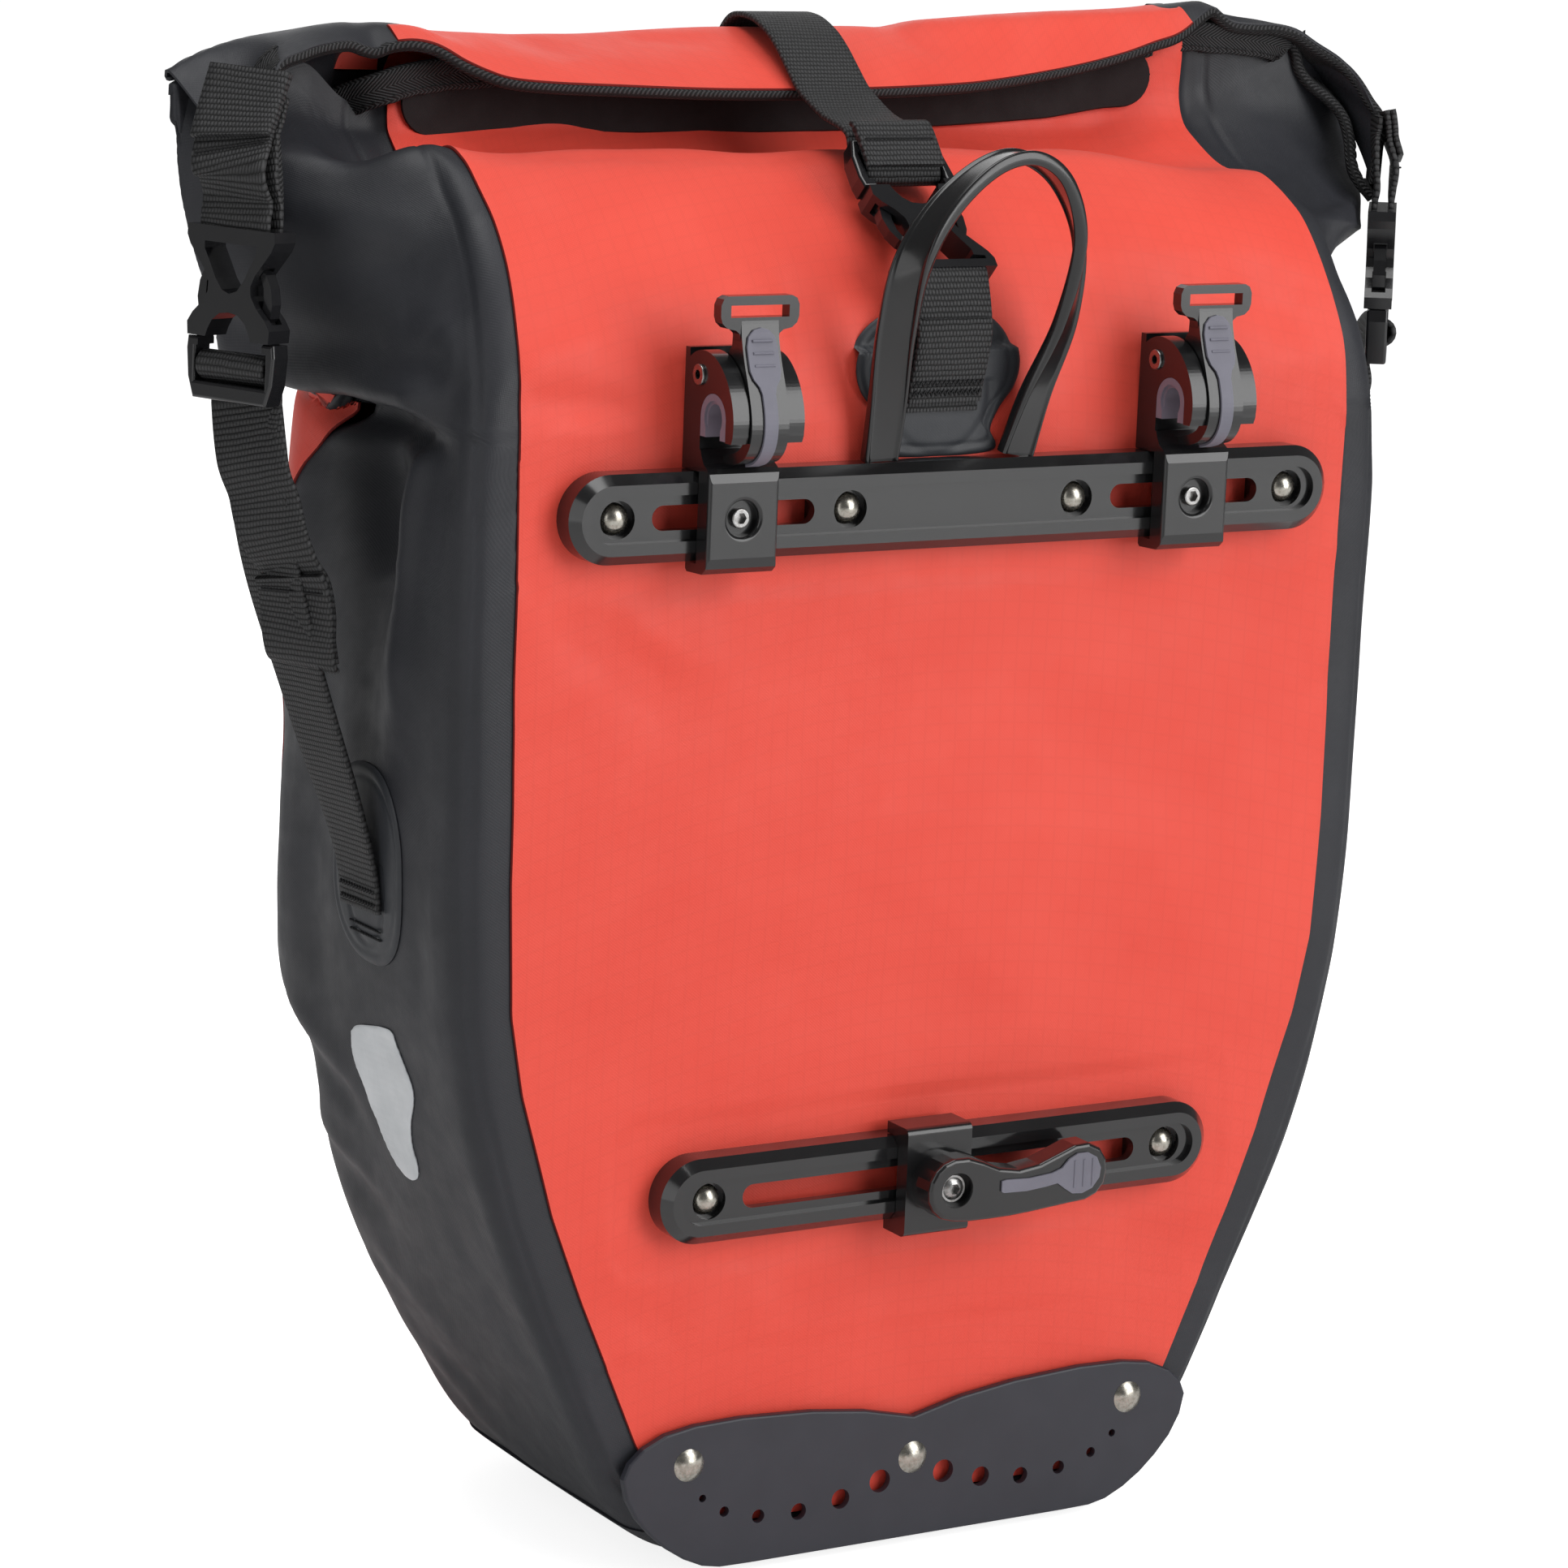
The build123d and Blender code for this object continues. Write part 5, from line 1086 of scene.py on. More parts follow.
hp = spline(HEM, 820)
hp[:, 2] -= 1.8 * smooth01((hp[:, 2] - 425) / 8)
ridge_near = np.stack([by_x(ridge_c, x) for x in hp[:, 0]])
inw = ridge_near - hp
ends = (hp[:, 2] < 430)
for i in range(len(hp)):
    if hp[i, 2] < 440 and abs(hp[i, 0]) > 176:
        inw[i] = np.array([1.5, 8.0, 0.5]) if hp[i, 0] < 0 else np.array([0.5, 0.86, 0.0])
inw = unit(smooth_line(unit(inw), 60))
tanh = unit(np.gradient(hp, axis=0))
outw = np.cross(tanh, inw)
outw = outw * np.sign((outw @ np.array([0, -1.0, 1.0])))[:, None]
outw = unit(smooth_line(outw, 30))
tape("front_hem_tape", hp, inw, outw, half=4.9, replaced=("mouth_binding_front",))

bp_pts = [(-160, 109.0, 424.0), (-155, 107.0, 428.5), (-150.0, 102.4, 432.2), (-145.6, 97.2, 434.8), (-141, 95.2, 436.6),
          (-135, 95.2, 438.4), (-122, 95.8, 440.4), (-100, 96.4, 441.6), (-60, 96.8, 443.0), (0, 96.8, 443.4), (60, 96.8, 444.4), (100, 96.4, 447.0), (122, 95.0, 450.6),
          (138, 93.6, 453.0), (152, 93.0, 452.4), (166, 92, 451.4), (176, 91, 449.0), (180.5, 90, 444), (182.0, 88.8, 438.6), (185, 86.4, 434.0), (190, 82.6, 429.4),
          (193.4, 79.2, 424.4), (194.0, 76.4, 418.6), (193.2, 73.4, 411.0), (194.6, 70.4, 404.6), (198.4, 68.0, 399.4)]
bp = spline(bp_pts, 640)
binw, bout = np.tile(np.array([0, 0, -1.0]), (len(bp), 1)), np.tile(np.array([0, -1.0, 0.1]), (len(bp), 1))
hang = smooth01((bp[:, 0] - 176) / 6)[:, None]
binw = unit(binw * (1 - hang) + np.array([0.62, 0.75, 0.0]) * hang)
bout = unit(bout * (1 - hang) + np.array([0.75, -0.62, 0.0]) * hang)
tape("back_rim_tape", bp, binw, bout, half=4.3, wave=0.3,
     replaced=("mouth_binding_back",))


# ------------------------------------------------------------------ stiffener strips
def strip(name, xs, centre, up, normal, half, node, end_r=10.0, thick=1.1, mat=STIFF):
    """Flat strip with rounded ends: centre(x) line, up direction and half height."""
    rows = []
    n = 15
    x0, x1 = xs
    cx = np.concatenate([x0 + end_r * (1 - np.cos(np.linspace(0, math.pi / 2, 9))), np.linspace(x0 + end_r, x1 - end_r, 90)[1:-1],
                         x1 - end_r * (1 - np.sin(np.linspace(0, math.pi / 2, 9)))])
    cols = []
    for x in cx:
        dx = max(0.0, (x0 + end_r) - x, x - (x1 - end_r))
        k = half - end_r + math.sqrt(max(end_r ** 2 - dx ** 2, 0.0)) if half > end_r else half * math.sqrt(max(1 - (dx / end_r) ** 2, 0.0))
        k = max(k, 0.15)
        c, u = centre(x), up(x)
        cols.append([c + u * k * t for t in np.linspace(-1, 1, n)])
    p = np.array(cols).transpose(1, 0, 2)
    b = Builder()
    nn = grid_normals(p)
    if (nn.mean((0, 1)) @ normal) < 0:
        p = p[:, ::-1]
        nn = grid_normals(p)
    sheet(b, p, nn, 0.5, thick)
    o = b.piece(name, [mat])
    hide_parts(node)
    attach(o, "bag")
    return o


def strip_centre(x):
    z = 429.0 + 5.6 * np.clip((x + 20) / 130, -0.1, 1) ** 2
    return np.array([x, 95.0 - 6.6 * float(smooth01((x - 103) / 34)), z - 1.2 * max(0.0, (-x - 90) / 46) + 2.2 * max(0.0, (x - 90) / 30)])


strip("back_rim_stiffener", (-134, 125), strip_centre, lambda x: unit(np.array([0, 0.12, 1.0])), np.array([0, -1.0, 0]), 9.4, "mouth_stiffener_back", end_r=9.2)
strip("front_rim_stiffener", (-116, 116), lambda x: by_x(ridge_c, x) * 0.35 + by_x(hem_c, x) * 0.65 + np.array([0, 1.6, -1.4]),
      lambda x: unit(by_x(ridge_c, x) - by_x(hem_c, x)), np.array([0, 0.5, -1.0]), 6.0, "mouth_stiffener_front", end_r=6.0)


# ------------------------------------------------------------------ carry handle
HAND_P = [(-27.6, -4.4, 333.9), (-28.0, -8.0, 350), (-30.0, -14.5, 372), (-29.0, -20.0, 392), (-19.5, -20.8, 408), (-5.0, -21.0, 419.5),
          (8.5, -21.0, 421.8), (20.5, -20.5, 414.0), (28.0, -19.0, 397), (27.6, -14.5, 374), (22.6, -8.0, 352), (19.0, -4.4, 333.9)]
HAND_W = [(1, 0.0, 0), (1, -0.1, 0), (0.85, -0.45, 0.1), (0.55, -0.8, 0.2), (0.25, -0.95, 0.1), (0.0, -1, 0.0), (0.0, -1, 0.0), (-0.2, -0.95, 0.1),
          (-0.6, -0.75, 0.1), (-0.85, -0.5, 0.05), (-1, -0.15, 0), (-1, 0, 0)]
hc = spline(HAND_P, 170)
hw_ = unit(smooth_line(spline(HAND_W, 170), 20))
sec = []
# a web with a rounded bead along each edge
for a in np.linspace(math.radians(140), math.radians(-140), 12):
    sec.append((0.845 + 0.155 * math.cos(a), 1.0 * math.sin(a)))
for k in np.linspace(0.6, -0.6, 7):
    sec.append((k, -0.62))
for a in np.linspace(math.radians(-40), math.radians(-320), 12):
    sec.append((-0.845 + 0.155 * math.cos(a), 1.0 * math.sin(a)))
for k in np.linspace(-0.6, 0.6, 7):
    sec.append((k, 0.62))
b = Builder()
band(b, hc, hw_, 11.6, 4.2, section=sec[::-1])
o = b.piece("carry_handle_moulding", [HANDLE])
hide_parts("carry_handle")
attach(o, "bag")


# ------------------------------------------------------------------ patches
def ring_patch(name, outline, project, mat, node, thick=0.85, emboss=None, lines=(), n_r=34, fabscale=1.0, centre=None, extra=None):
    """Film patch: outline in its own flat (s, t) plane, project((s, t), h) puts it on the bag h mm above the cloth."""
    o2 = np.asarray(outline, float)
    o2 = np.concatenate([o2, o2[:1]])
    o2 = resample(o2, 161)[:-1]
    c = o2.mean(0) if centre is None else np.array(centre, float)
    k = len(o2)
    edge = np.array([0.0] + list(np.linspace(0.06, 0.93, n_r)) + [0.955, 0.975, 0.99, 1.0])
    hgt = np.interp(edge, [0, 0.93, 0.965, 0.985, 1.0], [thick, thick, thick * 0.86, thick * 0.55, 0.06])
    verts, fab = [], []
    for e, h in zip(edge[1:], hgt[1:]):
        q = c + (o2 - c) * e
        hh = np.full(k, h)
        if emboss is not None:
            hh = hh + emboss(q, e)
        verts.append(project(q, hh))
        fab.append(np.concatenate([q, np.zeros((k, 1))], 1))
    top = project(c[None], np.array([thick + (emboss(c[None], 0.0)[0] if emboss is not None else 0)]))
    vg = np.array(verts)
    b = Builder()
    nr = len(verts)
    allv = np.concatenate([vg.reshape(-1, 3), top])
    allf = np.concatenate([np.array(fab).reshape(-1, 3), [[c[0], c[1], 0]]])
    faces = grid_faces(nr, k, closed_u=True)
    faces += [((i + 1) % k, i, nr * k) for i in range(k)]
    # orientation: outward away from the cloth
    a0, a1, a2 = allv[faces[-1][0]], allv[faces[-1][1]], allv[faces[-1][2]]
    away = project(c[None], np.array([5.0]))[0] - project(c[None], np.array([0.0]))[0]
    if np.dot(np.cross(a1 - a0, a2 - a0), away) < 0:
        faces = [f[::-1] for f in faces]
    b.add(allv, faces, allf, 0)
    # hidden underside closes the patch
    low = project(c + (o2 - c) * 1.0, np.full(k, -0.25))
    lo_c = project(c[None], np.array([-0.25]))
    rimv = np.concatenate([vg[-1], low, lo_c])
    rf = []
    for i in range(k):
        j = (i + 1) % k
        rf.append((i, j, j + k, i + k))
        rf.append((i + k, j + k, 2 * k))
    a0, a1, a2 = rimv[rf[1][0]], rimv[rf[1][1]], rimv[rf[1][2]]
    if np.dot(np.cross(a1 - a0, a2 - a0), away) > 0:
        rf = [f[::-1] for f in rf]
    b.add(rimv, rf, None, 0)
    mats = [mat, THREAD]
    for ln in lines:
        stitches(b, project(np.asarray(ln[0], float), np.full(len(ln[0]), thick + 0.1)), unit(away), 1, **ln[1])
    if extra is not None:
        extra(b)
    o = b.piece(name, mats)
    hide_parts(node)
    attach(o, "bag")
    return o


key = [(0, 377.6), (10, 377.0), (19, 373.8), (25.5, 368.0), (28.0, 360.6), (26.4, 353.6), (21.6, 347.4), (18.6, 341.0), (18.4, 334.3)]
key_full = [(-6.0 + x, z) for x, z in key] + [(-6.0 - x, z) for x, z in key[::-1][:-1]]
key_s = spline(key_full + [key_full[0]], 200)


def back_depth(x, z):
    """y of the rack-side cloth's outer face at (x, z)."""
    pts = bg.reshape(-1, 3) + (BACK_NRM * 0.62).reshape(-1, 3)
    out = []
    for a, c in zip(np.atleast_1d(x), np.atleast_1d(z)):
        d = (pts[:, 0] - a) ** 2 + (pts[:, 2] - c) ** 2 + np.where(pts[:, 1] > 60, 1e6, 0)
        k = np.argpartition(d, 4)[:4]
        w = 1 / (d[k] + 0.05)
        out.append((pts[k, 1] * w).sum() / w.sum())
    return np.array(out)


def on_back(q, h):
    y = np.minimum(back_depth(q[:, 0], q[:, 1]), 4.0) - h
    y = np.where(q[:, 1] < 365, np.minimum(y, -0.2 - h), y)
    return np.stack([q[:, 0], y, q[:, 1]], -1)


def key_emboss(q, e):
    d = np.minimum(np.abs(np.hypot(q[:, 0] + 6, (q[:, 1] - 352)) - 17.5), 6)
    u = np.where(q[:, 1] < 356, np.exp(-(d / 1.5) ** 2), 0) * -0.45
    rib = np.exp(-((e - 0.86) / 0.03) ** 2) * -0.35
    return u + rib


ring_patch("centre_anchor_film", key_s[:-1], on_back, PATCH, "centre_anchor_patch", thick=1.0, emboss=key_emboss, centre=(-6, 356))


def gusset_points(g):
    return g.reshape(-1, 3)


def side_depth(g, y, z):
    pts = g[:, 20:130:2].reshape(-1, 3)
    out = []
    for a, c in zip(np.atleast_1d(y), np.atleast_1d(z)):
        d = (pts[:, 1] - a) ** 2 + (pts[:, 2] - c) ** 2
        k = np.argpartition(d, 6)[:6]
        w = 1 / (d[k] + 0.3)
        out.append((pts[k, 0] * w).sum() / w.sum())
    return np.array(out)


def side_outline(cy, cz, a, b_, n=48, pw=2.4):
    pts = []
    for i in range(n):
        t = 2 * math.pi * i / n
        c, s = math.cos(t), math.sin(t)
        pts.append((cy + a * math.copysign(abs(c) ** (2 / pw), c), cz + b_ * math.copysign(abs(s) ** (2 / pw), s)))
    return pts


for side, sg, g in (("left", -1, g_left), ("right", 1, g_right)):
    def on_side(q, h, g=g, sg=sg):
        return np.stack([side_depth(g, q[:, 0], q[:, 1]) + sg * h, q[:, 0], q[:, 1]], -1)

    def u_emboss(q, e):
        d = np.abs(np.hypot((q[:, 0] - 57) / 0.62, (q[:, 1] - 207)) - 19)
        return np.where(q[:, 1] < 214, -0.55 * np.exp(-(d / 1.4) ** 2), 0) + np.exp(-((e - 0.88) / 0.03) ** 2) * -0.3

    bars = []
    for zz in (193.5, 191.0):
        bars.append(([(57 - 9.5 + 19 * k / 20, zz) for k in range(21)], dict(pitch=1.5, length=1.6, r=0.34, lift=0.1)))
    ring_patch(side + "_anchor_film", side_outline(57, 212, 22.5, 30), on_side, PATCH, side + "_anchor_patch", thick=0.9, emboss=u_emboss, lines=bars)
    refl = [(75.1, 157.2), (70.9, 159.9), (62.5, 161.8), (54.1, 163.2), (48.7, 163.0), (46.9, 159.1), (43.5, 153.3), (40.4, 148.4), (40.5, 143.5), (43.9, 136.2),
            (45.1, 128.9), (44.4, 123.6), (46.3, 119.0), (51.6, 116.6), (57.2, 117.8), (61.2, 121.2), (64.6, 126.7), (66.6, 131.2), (69.6, 135.4), (71.8, 140.6),
            (74.9, 146.0), (76.3, 151.4)]
    rs = spline(refl + [refl[0]], 200)
    ring_patch(side + "_reflector_film", rs[:-1], on_side, REFL, side + "_reflector", thick=0.5)


def front_depth(x, z):
    pts = (fg + nf * 0.62)[:-46, ::2].reshape(-1, 3)
    out = []
    for a, c in zip(np.atleast_1d(x), np.atleast_1d(z)):
        d = (pts[:, 0] - a) ** 2 + (pts[:, 2] - c) ** 2 + np.where(pts[:, 1] < 110, 1e6, 0)
        k = np.argpartition(d, 4)[:4]
        w = 1 / (d[k] + 0.3)
        out.append((pts[k, 1] * w).sum() / w.sum())
    return np.array(out)


def on_front(q, h):
    return np.stack([q[:, 0], front_depth(q[:, 0], q[:, 1]) + h, q[:, 1]], -1)


ring_patch("front_strap_film", side_outline(0, 268, 24, 32), on_front, PATCH, "front_strap_patch", thick=0.9,
           emboss=lambda q, e: np.full(len(q), math.exp(-((e - 0.88) / 0.03) ** 2) * -0.3),
           lines=[([(-10 + 20 * k / 20, zz) for k in range(21)], dict(pitch=1.5, length=1.6, r=0.34, lift=0.1)) for zz in (262, 264.5)])


# ------------------------------------------------------------------ straps
BUCKLES = {
    "left": (np.array([-202.0, 57.0, 366.0]), np.array([0.40, -0.917, 0.0]), np.array([0.02, 0, 1])),
    "right": (np.array([202.0, 66.0, 366.0]), np.array([0.61, 0.79, 0]), np.array([-0.02, 0, 1])),
    "centre": (np.array([-6.0, 21.0, 407.7]), np.array([1.0, 0, 0]), np.array([0, -0.715, -0.699])),
}


def axes(name):
    o_, w_, u_ = BUCKLES[name]
    u_ = unit(u_)
    w_ = unit(w_ - u_ * (w_ @ u_))
    return o_, w_, u_, unit(np.cross(w_, u_))


def local(name, across, up, out):
    o_, w_, u_, n_ = axes(name)
    return o_ + w_ * across + u_ * up + n_ * out


def side_of(n_, towards):
    return n_ if n_ @ towards > 0 else -n_


WD = 25.0


def dirs(pts, ws, n):
    return unit(smooth_line(spline(ws, n), 8))


def wavy(c, nrm, amp, wl, ph):
    d = np.concatenate([[0], np.cumsum(np.linalg.norm(np.diff(c, axis=0), axis=-1))])
    env = np.sin(np.clip(d / d[-1], 0, 1) * math.pi)
    return c + nrm * (amp * np.sin(d / wl * 2 * math.pi + ph) * env)[:, None]


# side straps: (mouth loop over the female bar), anchored strap round the male's ladder, free tail with a folded end
for side in ("left", "right"):
    o_, w_, u_, n_ = axes(side)
    view_dir = np.array([-0.9, -0.45, 0.1]) if side == "left" else np.array([0.75, -0.7, 0.0])
    out = side_of(n_, view_dir)
    bar = o_ + u_ * 29.6
    # loop: down the outer side, under the bar, back up behind
    if side == "left":
        t_front = [np.array([-194.6, 66.0, 439.6]), np.array([-198.6, 63.6, 430.6]), np.array([-203.4, 59.6, 420.5]), np.array([-205.6, 55.6, 412.6]), np.array([-203.0, 56.6, 405.0])]
        t_back = [np.array([-199.0, 58.6, 404.0]), np.array([-200.0, 59.6, 412.0]), np.array([-199.4, 62.0, 421.0]), np.array([-197.6, 64.6, 427.0]), np.array([-195.8, 66.8, 431.5])]
        w_top = np.array([0.36, -0.84, -0.40])
    else:
        t_front = [np.array([201.4, 69.2, 427.0]), np.array([202.6, 67.4, 419.0]), np.array([203.8, 64.6, 411.0]), np.array([203.6, 64.4, 404.0])]
        t_back = [np.array([199.6, 67.6, 404.0]), np.array([199.4, 69.0, 411.0]), np.array([199.8, 71.0, 419.0]), np.array([199.8, 71.2, 426.0])]
        w_top = np.array([0.45, 0.85, 0.1])
    r = 2.6
    under = [bar + out * r + u_ * 4.0, bar + out * r * 1.0, bar + out * r * 0.72 - u_ * r * 0.72, bar - u_ * r, bar - out * r * 0.72 - u_ * r * 0.72,
             bar - out * r, bar - out * r + u_ * 4.0]
    path = t_front + under + t_back
    nf_ = len(t_front)
    ws = [w_top] * (nf_ - 2) + [w_ * 0.5 + w_top * 0.5] + [w_] * 9 + [w_ * 0.5 + w_top * 0.5] + [w_top] * (len(t_back) - 2)
    ws = ws[:nf_ + len(under) + len(t_back)]
    b = Builder()
    c = spline(path, 150)
    wd = dirs(path, ws, 150)
    band(b, c, wd, WD, 1.75, wave=0.12)
    # stitched fold lines and a box of stitches near the top
    tan, ww, nn = frames(c, wd)
    for idx in (10, 14, 38):
        ln = [c[idx] + ww[idx] * a for a in np.linspace(-11, 11, 23)]
        fn = side_of(nn[idx], view_dir)
        stitches(b, np.array(ln) + fn * 0.95, fn, 1, pitch=1.6, length=1.7, r=0.3, lift=0.05)
    # turned-over end at the top with its thick edge
    fold_c = c[0:34] + np.array([side_of(nn[k], view_dir) * 1.95 for k in range(34)])
    band(b, smooth_line(fold_c, 6), wd[0:34], WD + 0.6, 1.7, wave=0.1, fab_shift=3.0)
    o = b.piece(side + "_mouth_webbing", [WEB, THREAD])
    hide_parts(side + "_mouth_loop")
    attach(o, "bag")

    lad = o_ - u_ * 7.7
    sgx = -1 if side == "left" else 1
    if side == "left":
        mid = [(-194.5, 57.5, 322), (-190, 58.5, 302), (-184, 58.5, 281), (-174.5, 58.5, 253), (-165.0, 58.2, 226), (-160.8, 57.6, 210), (-159.6, 57.2, 199)]
        mws = [(0.36, -0.93, 0), (0.36, -0.93, 0), (0.28, -0.96, 0), (0.15, -1, 0), (0.05, -1, 0), (0, -1, 0), (0, -1, 0)]
        tail = [(-197.6, 55.0, 331), (-194.6, 53.6, 321), (-192.6, 52.4, 312), (-189.4, 51.6, 304.5), (-185.2, 52.0, 298), (-182.8, 52.8, 289), (-182.2, 53.2, 281), (-180.6, 53.6, 274)]
        tws = [(0.42, -0.9, 0), (0.46, -0.88, -0.02), (0.5, -0.86, -0.05), (0.5, -0.86, -0.08), (0.46, -0.88, -0.06), (0.44, -0.9, -0.05), (0.44, -0.9, -0.05), (0.42, -0.9, -0.05)]
    else:
        mid = [(189.5, 72, 322), (180, 74, 302), (173, 72, 281), (167.5, 68, 256), (163.2, 62, 230), (160.4, 58.4, 210), (159.6, 57.2, 199)]
        mws = [(0.55, 0.85, 0), (0.4, 0.9, 0), (0.3, 0.95, 0), (0.15, 1, 0), (0.05, 1, 0), (0, 1, 0), (0, 1, 0)]
        tail = [(195.5, 70.4, 327), (189.6, 74.4, 313), (184.4, 77.8, 300), (181.4, 79.4, 292), (178.6, 80.6, 283), (176.4, 81.2, 275)]
        tws = [(0.6, 0.8, 0)] * 6
    # anchored part: from behind the ladder bar, over it and away down to the patch
    wrap = [lad - out * 5.6 - u_ * 9.6, lad - out * 4.6 - u_ * 4.0, lad - out * 3.0 + u_ * 0.4, lad - out * 1.3 + u_ * 2.7, lad + out * 1.2 + u_ * 2.7,
            lad + out * 2.9 + u_ * 0.9, lad + out * 2.8 - u_ * 1.6, lad + out * 0.6 - u_ * 3.6, lad - out * 2.9 - u_ * 5.4, lad - out * 4.6 - u_ * 8.4, lad - out * 4.7 - u_ * 11.5]
    p1 = [np.array(q, float) for q in mid][::-1] + [o_ - u_ * 27 - out * 5.4] + wrap
    w1 = [np.array(q, float) for q in mws][::-1] + [w_] * (1 + len(wrap))
    p1 = p1 + [np.array(q, float) for q in tail]
    w1 = w1 + [np.array(q, float) for q in tws]
    c = spline(p1, 330)
    wd = dirs(p1, w1, 330)
    b = Builder()
    tan, ww, nn = frames(c, wd)
    width = np.interp(np.linspace(0, 1, 330), [0, 0.05, 0.1, 1], [1.0, 1.0, 1.0, 1.0])
    band(b, c, wd, WD - 0.6, 1.65, wave=0.15, taper=width)
    # folded, stitched end of the free tail
    k0 = 330 - 34
    fo = np.array([side_of(nn[k], view_dir) for k in range(k0, 330)])
    fold = c[k0:330] + fo * 1.9
    fold = np.concatenate([[c[329] + tan[329] * 1.6 + fo[-1] * 0.3], [c[329] + tan[329] * 1.8 + fo[-1] * 1.6], fold[::-1][1:]])
    band(b, smooth_line(fold, 4), np.concatenate([[wd[329]], [wd[329]], wd[k0:330][::-1][1:]]), WD + 0.8, 1.7, wave=0.1, fab_shift=2.0)
    ln = np.array([c[k0 + 6] + ww[k0 + 6] * a for a in np.linspace(-11, 11, 23)]) + fo[6] * 2.85
    stitches(b, ln, fo[6], 1, pitch=1.6, length=1.7, r=0.3, lift=0.05)
    # bartack that holds the strap to the patch
    for kk in (3, 8):
        q = np.array([c[kk] + ww[kk] * a for a in np.linspace(-11, 11, 26)])
        on = side_of(nn[kk], np.array([sgx, 0, 0.0]))
        zig = q + tan[kk] * (0.9 * (np.arange(26) % 2 - 0.5))[:, None] + on * 1.0
        capsule_line(b, zig, 0.36, 1, 5)
    o = b.piece(side + "_side_strap", [WEB, THREAD])
    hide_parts(side + "_strap")
    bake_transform(o)

# centre: webbing loop sewn to the keyhole patch and carried round the female bar
o_, w_, u_, n_ = axes("centre")
out = side_of(n_, np.array([0, -1.0, 1.0]))
bar = o_ + u_ * 29.6
r = 2.5
X = -6.0
front = [np.array([X, -3.9, 350.0]), np.array([X, -4.6, 355.0]), np.array([X, -6.6, 362.0]), np.array([X, -8.0, 372.0]), bar + out * r - u_ * -4.0]
lp = front + [bar + out * r, bar + out * r * 0.7 - u_ * r * 0.7, bar - u_ * r, bar - out * r * 0.7 - u_ * r * 0.7, bar - out * r,
              np.array([X, -1.9, 376.0]), np.array([X, -2.9, 366.0]), np.array([X, -2.2, 354.0]), np.array([X, -1.9, 347.0])]
lp[4] = bar + out * r + u_ * 3.5
c = spline(lp, 120)
wd = np.tile(np.array([1.0, 0, 0]), (120, 1))
b = Builder()
band(b, c, wd, WD, 1.5, wave=0.1)
tan, ww, nn = frames(c, wd)
for kk, zz in ((4, 0), (8, 1)):
    q = np.array([c[kk] + ww[kk] * a for a in np.linspace(-11.5, 11.5, 30)])
    fo = side_of(nn[kk], np.array([0, -1.0, 0]))
    zig = q + tan[kk] * (1.5 * (np.arange(30) % 2 - 0.5))[:, None] + fo * 0.95
    capsule_line(b, zig, 0.38, 1, 5)
for kk in (34, ):
    q = np.array([c[kk] + ww[kk] * a for a in np.linspace(-11.5, 11.5, 24)])
    fo = side_of(nn[kk], np.array([0, -1.0, 0]))
    stitches(b, q + fo * 0.85, fo, 1, pitch=1.6, length=1.7, r=0.3, lift=0.05)
o = b.piece("centre_anchor_webbing", [WEB, THREAD])
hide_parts("centre_anchor_loop")
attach(o, "bag")

# centre strap: folded end on the outer side, round the ladder bar, over the mouth and down the street side
lad = o_ - u_ * 7.7
over = [(-5.8, 51, 427.8), (-5.6, 60, 431.4), (-5.4, 66.5, 434.6), (-5.2, 73.5, 440.2), (-5, 80.5, 445.9), (-4.8, 88.0, 450.4),
        (-4.4, 98.5, 453.6), (-4.0, 110, 453.4), (-3.7, 117.6, 448.0), (-3.4, 121.6, 440), (-3, 125.8, 428.0), (-2.6, 129.4, 414),
        (-2, 135.6, 396), (-1.4, 145.0, 370), (-0.8, 153.4, 346)]
over = [np.array(q, float) for q in over]
down = [(-0.4, 322), (-0.1, 304), (0.0, 290), (0, 276), (0, 262)]
fy = front_depth([q[0] for q in down], [q[1] for q in down])
over += [np.array([q[0], y + (2.0 if i < 2 else 2.4), q[1]]) for i, (q, y) in enumerate(zip(down, fy))]
tail_end = [lad + out * 4.6 - u_ * 13.5, lad + out * 4.4 - u_ * 9.5, lad + out * 3.9 - u_ * 5.5, lad + out * 3.2 - u_ * 1.0]
wrap = [lad + out * 2.6 + u_ * 1.4, lad + out * 1.0 + u_ * 3.0, lad - out * 1.0 + u_ * 3.0, lad - out * 2.9 + u_ * 0.6, lad - out * 3.1 - u_ * 3.5, lad - out * 1.8 - u_ * 9.5,
        o_ - u_ * 23.5 + out * 0.2]
pts = tail_end + wrap + over
n_c = 420
c = spline(pts, n_c)
wd = np.tile(np.array([1.0, 0, 0]), (n_c, 1))
b = Builder()
band(b, c, wd, WD, 1.7, wave=0.12)
tan, ww, nn = frames(c, wd)
k1 = 20
fold = c[0:k1] + out * 1.85
fold = np.concatenate([fold[::-1][:-1], [c[0] - tan[0] * 1.2 + out * 1.7], [c[0] - tan[0] * 1.4 + out * 0.4]])
band(b, smooth_line(fold, 3), wd[:len(fold)], WD + 1.4, 1.8, wave=0.1)
q = np.array([c[8] + ww[8] * a for a in np.linspace(-11.5, 11.5, 24)])
stitches(b, q + out * 2.8, out, 1, pitch=1.6, length=1.7, r=0.3, lift=0.05)
o = b.piece("centre_top_strap", [WEB, THREAD])
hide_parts("centre_strap")
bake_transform(o)

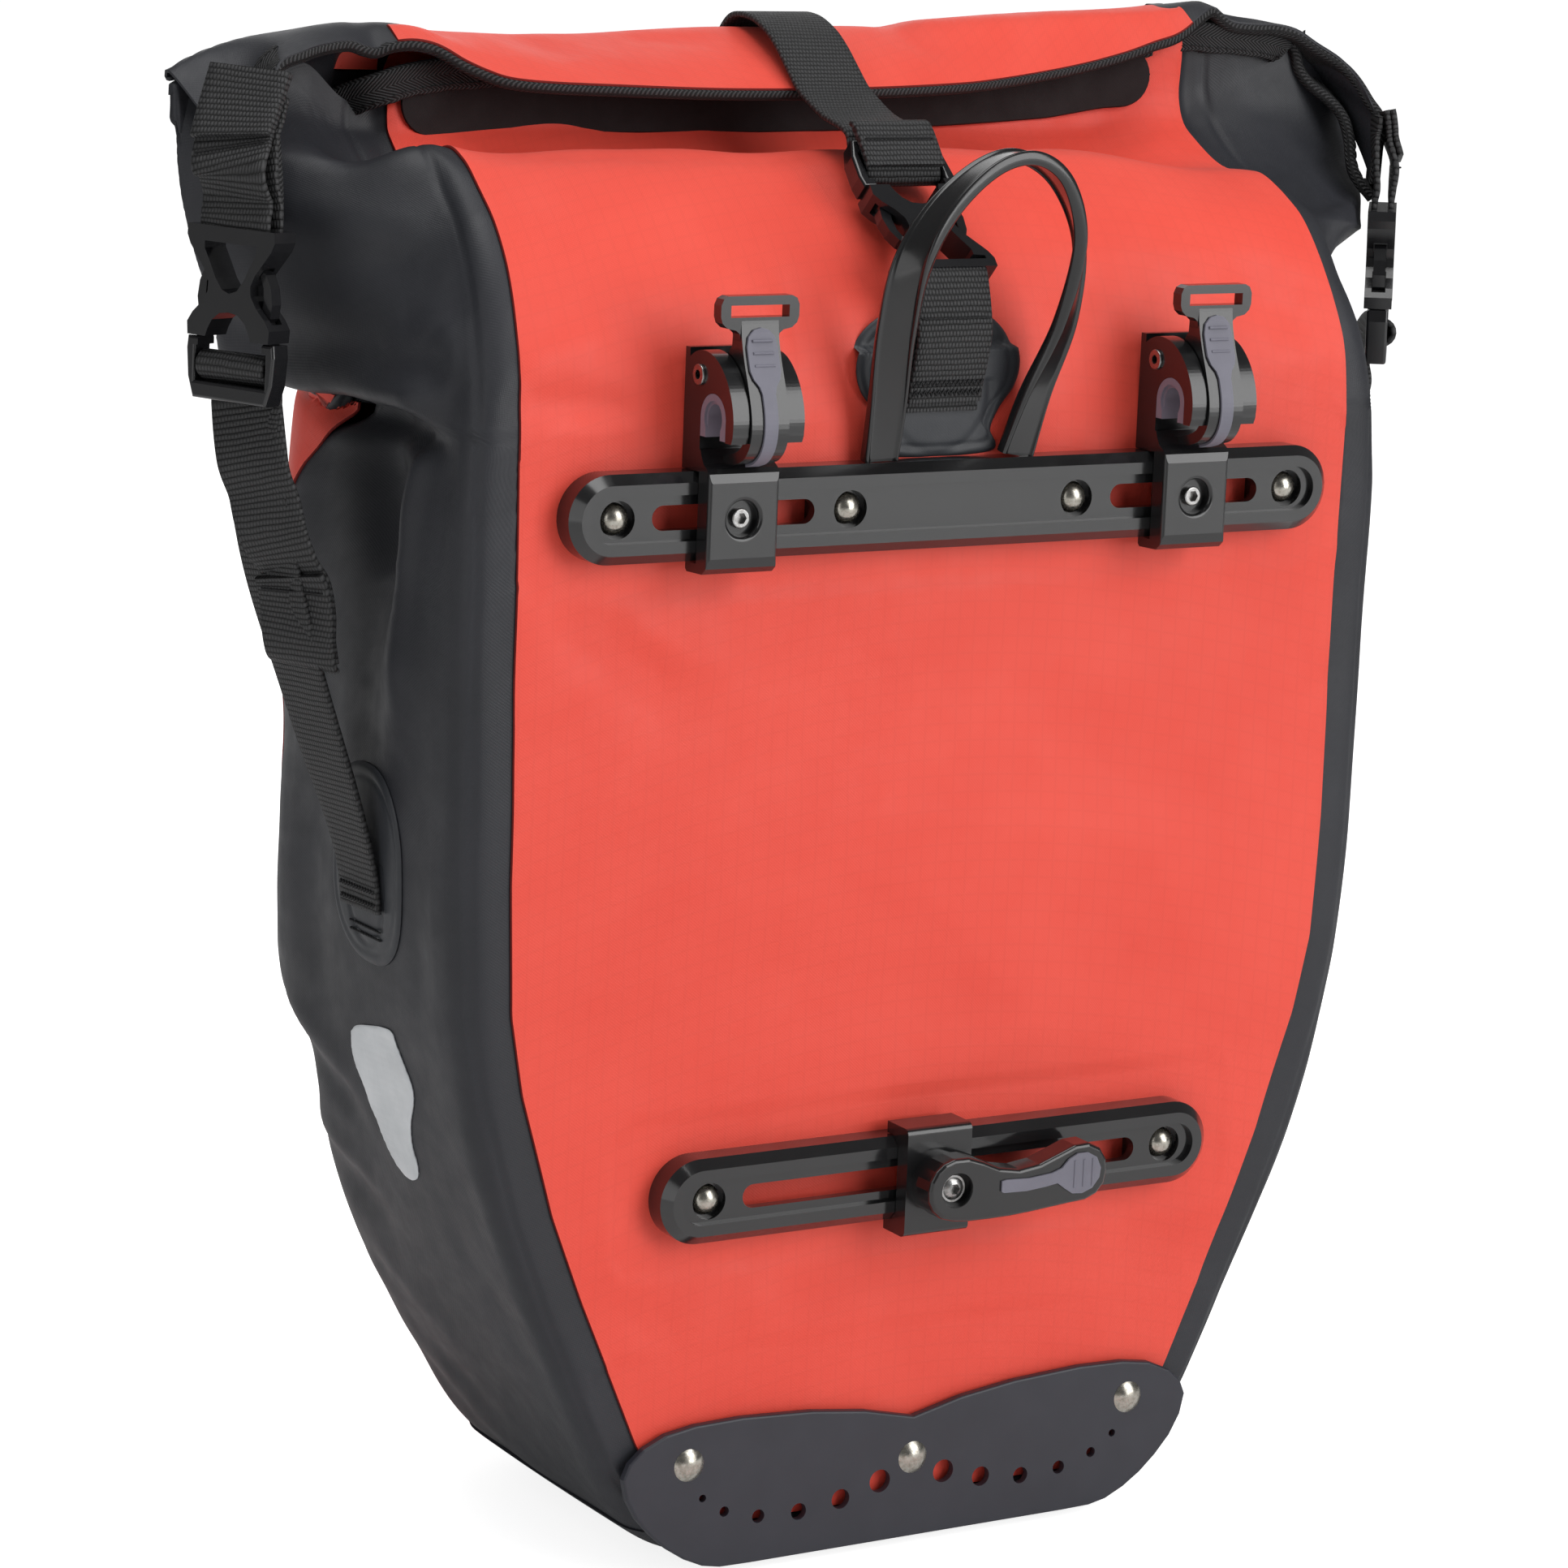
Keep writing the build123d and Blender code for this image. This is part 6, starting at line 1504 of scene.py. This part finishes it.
# ------------------------------------------------------------------ finishes of the carried-over CAD parts
FIN = {"upper_rail": RAIL, "lower_rail": LRAIL, "rail_rivets": RIVET, "rail_rivet_washers": STEEL, "base_plate": PLATE, "base_plate_rivets": RIVET,
       "back_stiffener": BOARD, "base_stiffener": BOARD}
for n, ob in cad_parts.items():
    if n in FIN:
        mat = FIN[n]
    elif n.endswith("_grip"):
        mat = GRIP
    elif n.endswith("_insert"):
        mat = INSERT
    elif n.endswith(("_pivot", "_screw", "_nut")):
        mat = STEEL
    elif n.endswith("_spring"):
        mat = SPRING
    elif "buckle" in n:
        mat = BUCK
    elif n.startswith(("hook_", "lower_")):
        mat = HOOK
    else:
        mat = BOARD
    ob.data.materials.clear()
    ob.data.materials.append(mat)

# ------------------------------------------------------------------ camera, floor and light
C = np.array([-0.79573, -1.29242, 0.53660])
yaw, pitch, roll = math.radians(30.95), math.radians(11.62), math.radians(2.307)
cy, sy, cp, sp = math.cos(yaw), math.sin(yaw), math.cos(pitch), math.sin(pitch)
fwd = np.array([sy * cp, cy * cp, -sp])
right = np.array([cy, -sy, 0.0])
up = np.cross(right, fwd)
rr, uu = right * math.cos(roll) + up * math.sin(roll), -right * math.sin(roll) + up * math.cos(roll)
cam_d = bpy.data.cameras.new("camera")
cam_d.lens, cam_d.sensor_width = 116.85, 36
cam = bpy.data.objects.new("camera", cam_d)
bpy.context.scene.collection.objects.link(cam)
m = Matrix.Identity(4)
for i in range(3):
    m[i][0], m[i][1], m[i][2], m[i][3] = rr[i], uu[i], -fwd[i], C[i]
cam.matrix_world = m
cam_d.clip_start, cam_d.clip_end = 0.05, 50
bpy.context.scene.camera = cam

fm = bpy.data.meshes.new("floor")
S = 40.0
fm.from_pydata([(-S, -S, -0.0005), (S, -S, -0.0005), (S, S, -0.0005), (-S, S, -0.0005)], [], [(0, 1, 2, 3)])
floor = bpy.data.objects.new("floor", fm)
bpy.context.scene.collection.objects.link(floor)
flo = Mat("pale_floor", 0.9, 0.1)
flo.out(flo.mix(flo.noise(flo.coords(), 0.004, 2.0), (0.80, 0.80, 0.80, 1), (0.83, 0.83, 0.83, 1)))
lp_f = flo.n("ShaderNodeLightPath")
flo.b.inputs["Emission Color"].default_value = (1, 1, 1, 1)
flo.link(flo.math("ADD", flo.math("MULTIPLY", lp_f.outputs["Is Camera Ray"], 0.76), 0.06), flo.b.inputs["Emission Strength"])
fm.materials.append(flo.m)


def area(name, loc, target, size, power, col=(1, 1, 1), size_y=None):
    d = bpy.data.lights.new(name, "AREA")
    d.energy, d.color = power, col
    d.size = size
    if size_y:
        d.shape = "RECTANGLE"
        d.size_y = size_y
    o = bpy.data.objects.new(name, d)
    bpy.context.scene.collection.objects.link(o)
    v = np.array(target) - np.array(loc)
    from mathutils import Vector
    o.location = loc
    o.rotation_mode = "QUATERNION"
    o.rotation_quaternion = Vector(v).to_track_quat("-Z", "Y")
    return o


area("key", (1.15, -2.0, 1.15), (0, 0, 0.24), 1.5, 40, size_y=2.2)
area("fill", (-2.3, -1.0, 0.9), (0, 0, 0.2), 1.4, 9, size_y=1.8)
area("top", (-0.25, -0.2, 2.2), (0, 0, 0.2), 1.3, 19)
area("back", (0.8, 2.2, 1.3), (0, 0, 0.25), 1.6, 9)

world = bpy.data.worlds.new("studio")
world.use_nodes = True
wt = world.node_tree
bg_node = wt.nodes["Background"]
bg_node.inputs[0].default_value = (1, 1, 1, 1)
lpw = wt.nodes.new("ShaderNodeLightPath")
mw = wt.nodes.new("ShaderNodeMath")
mw.operation = "MULTIPLY_ADD"
mw.inputs[1].default_value = 0.72
mw.inputs[2].default_value = 0.28
wt.links.new(lpw.outputs["Is Camera Ray"], mw.inputs[0])
gl = wt.nodes.new("ShaderNodeMath")
gl.operation = "MULTIPLY_ADD"
gl.inputs[1].default_value = -0.17
wt.links.new(lpw.outputs["Is Glossy Ray"], gl.inputs[0])
wt.links.new(mw.outputs[0], gl.inputs[2])
wt.links.new(gl.outputs[0], bg_node.inputs[1])
bpy.context.scene.world = world
bpy.context.scene.view_settings.view_transform = "Standard"
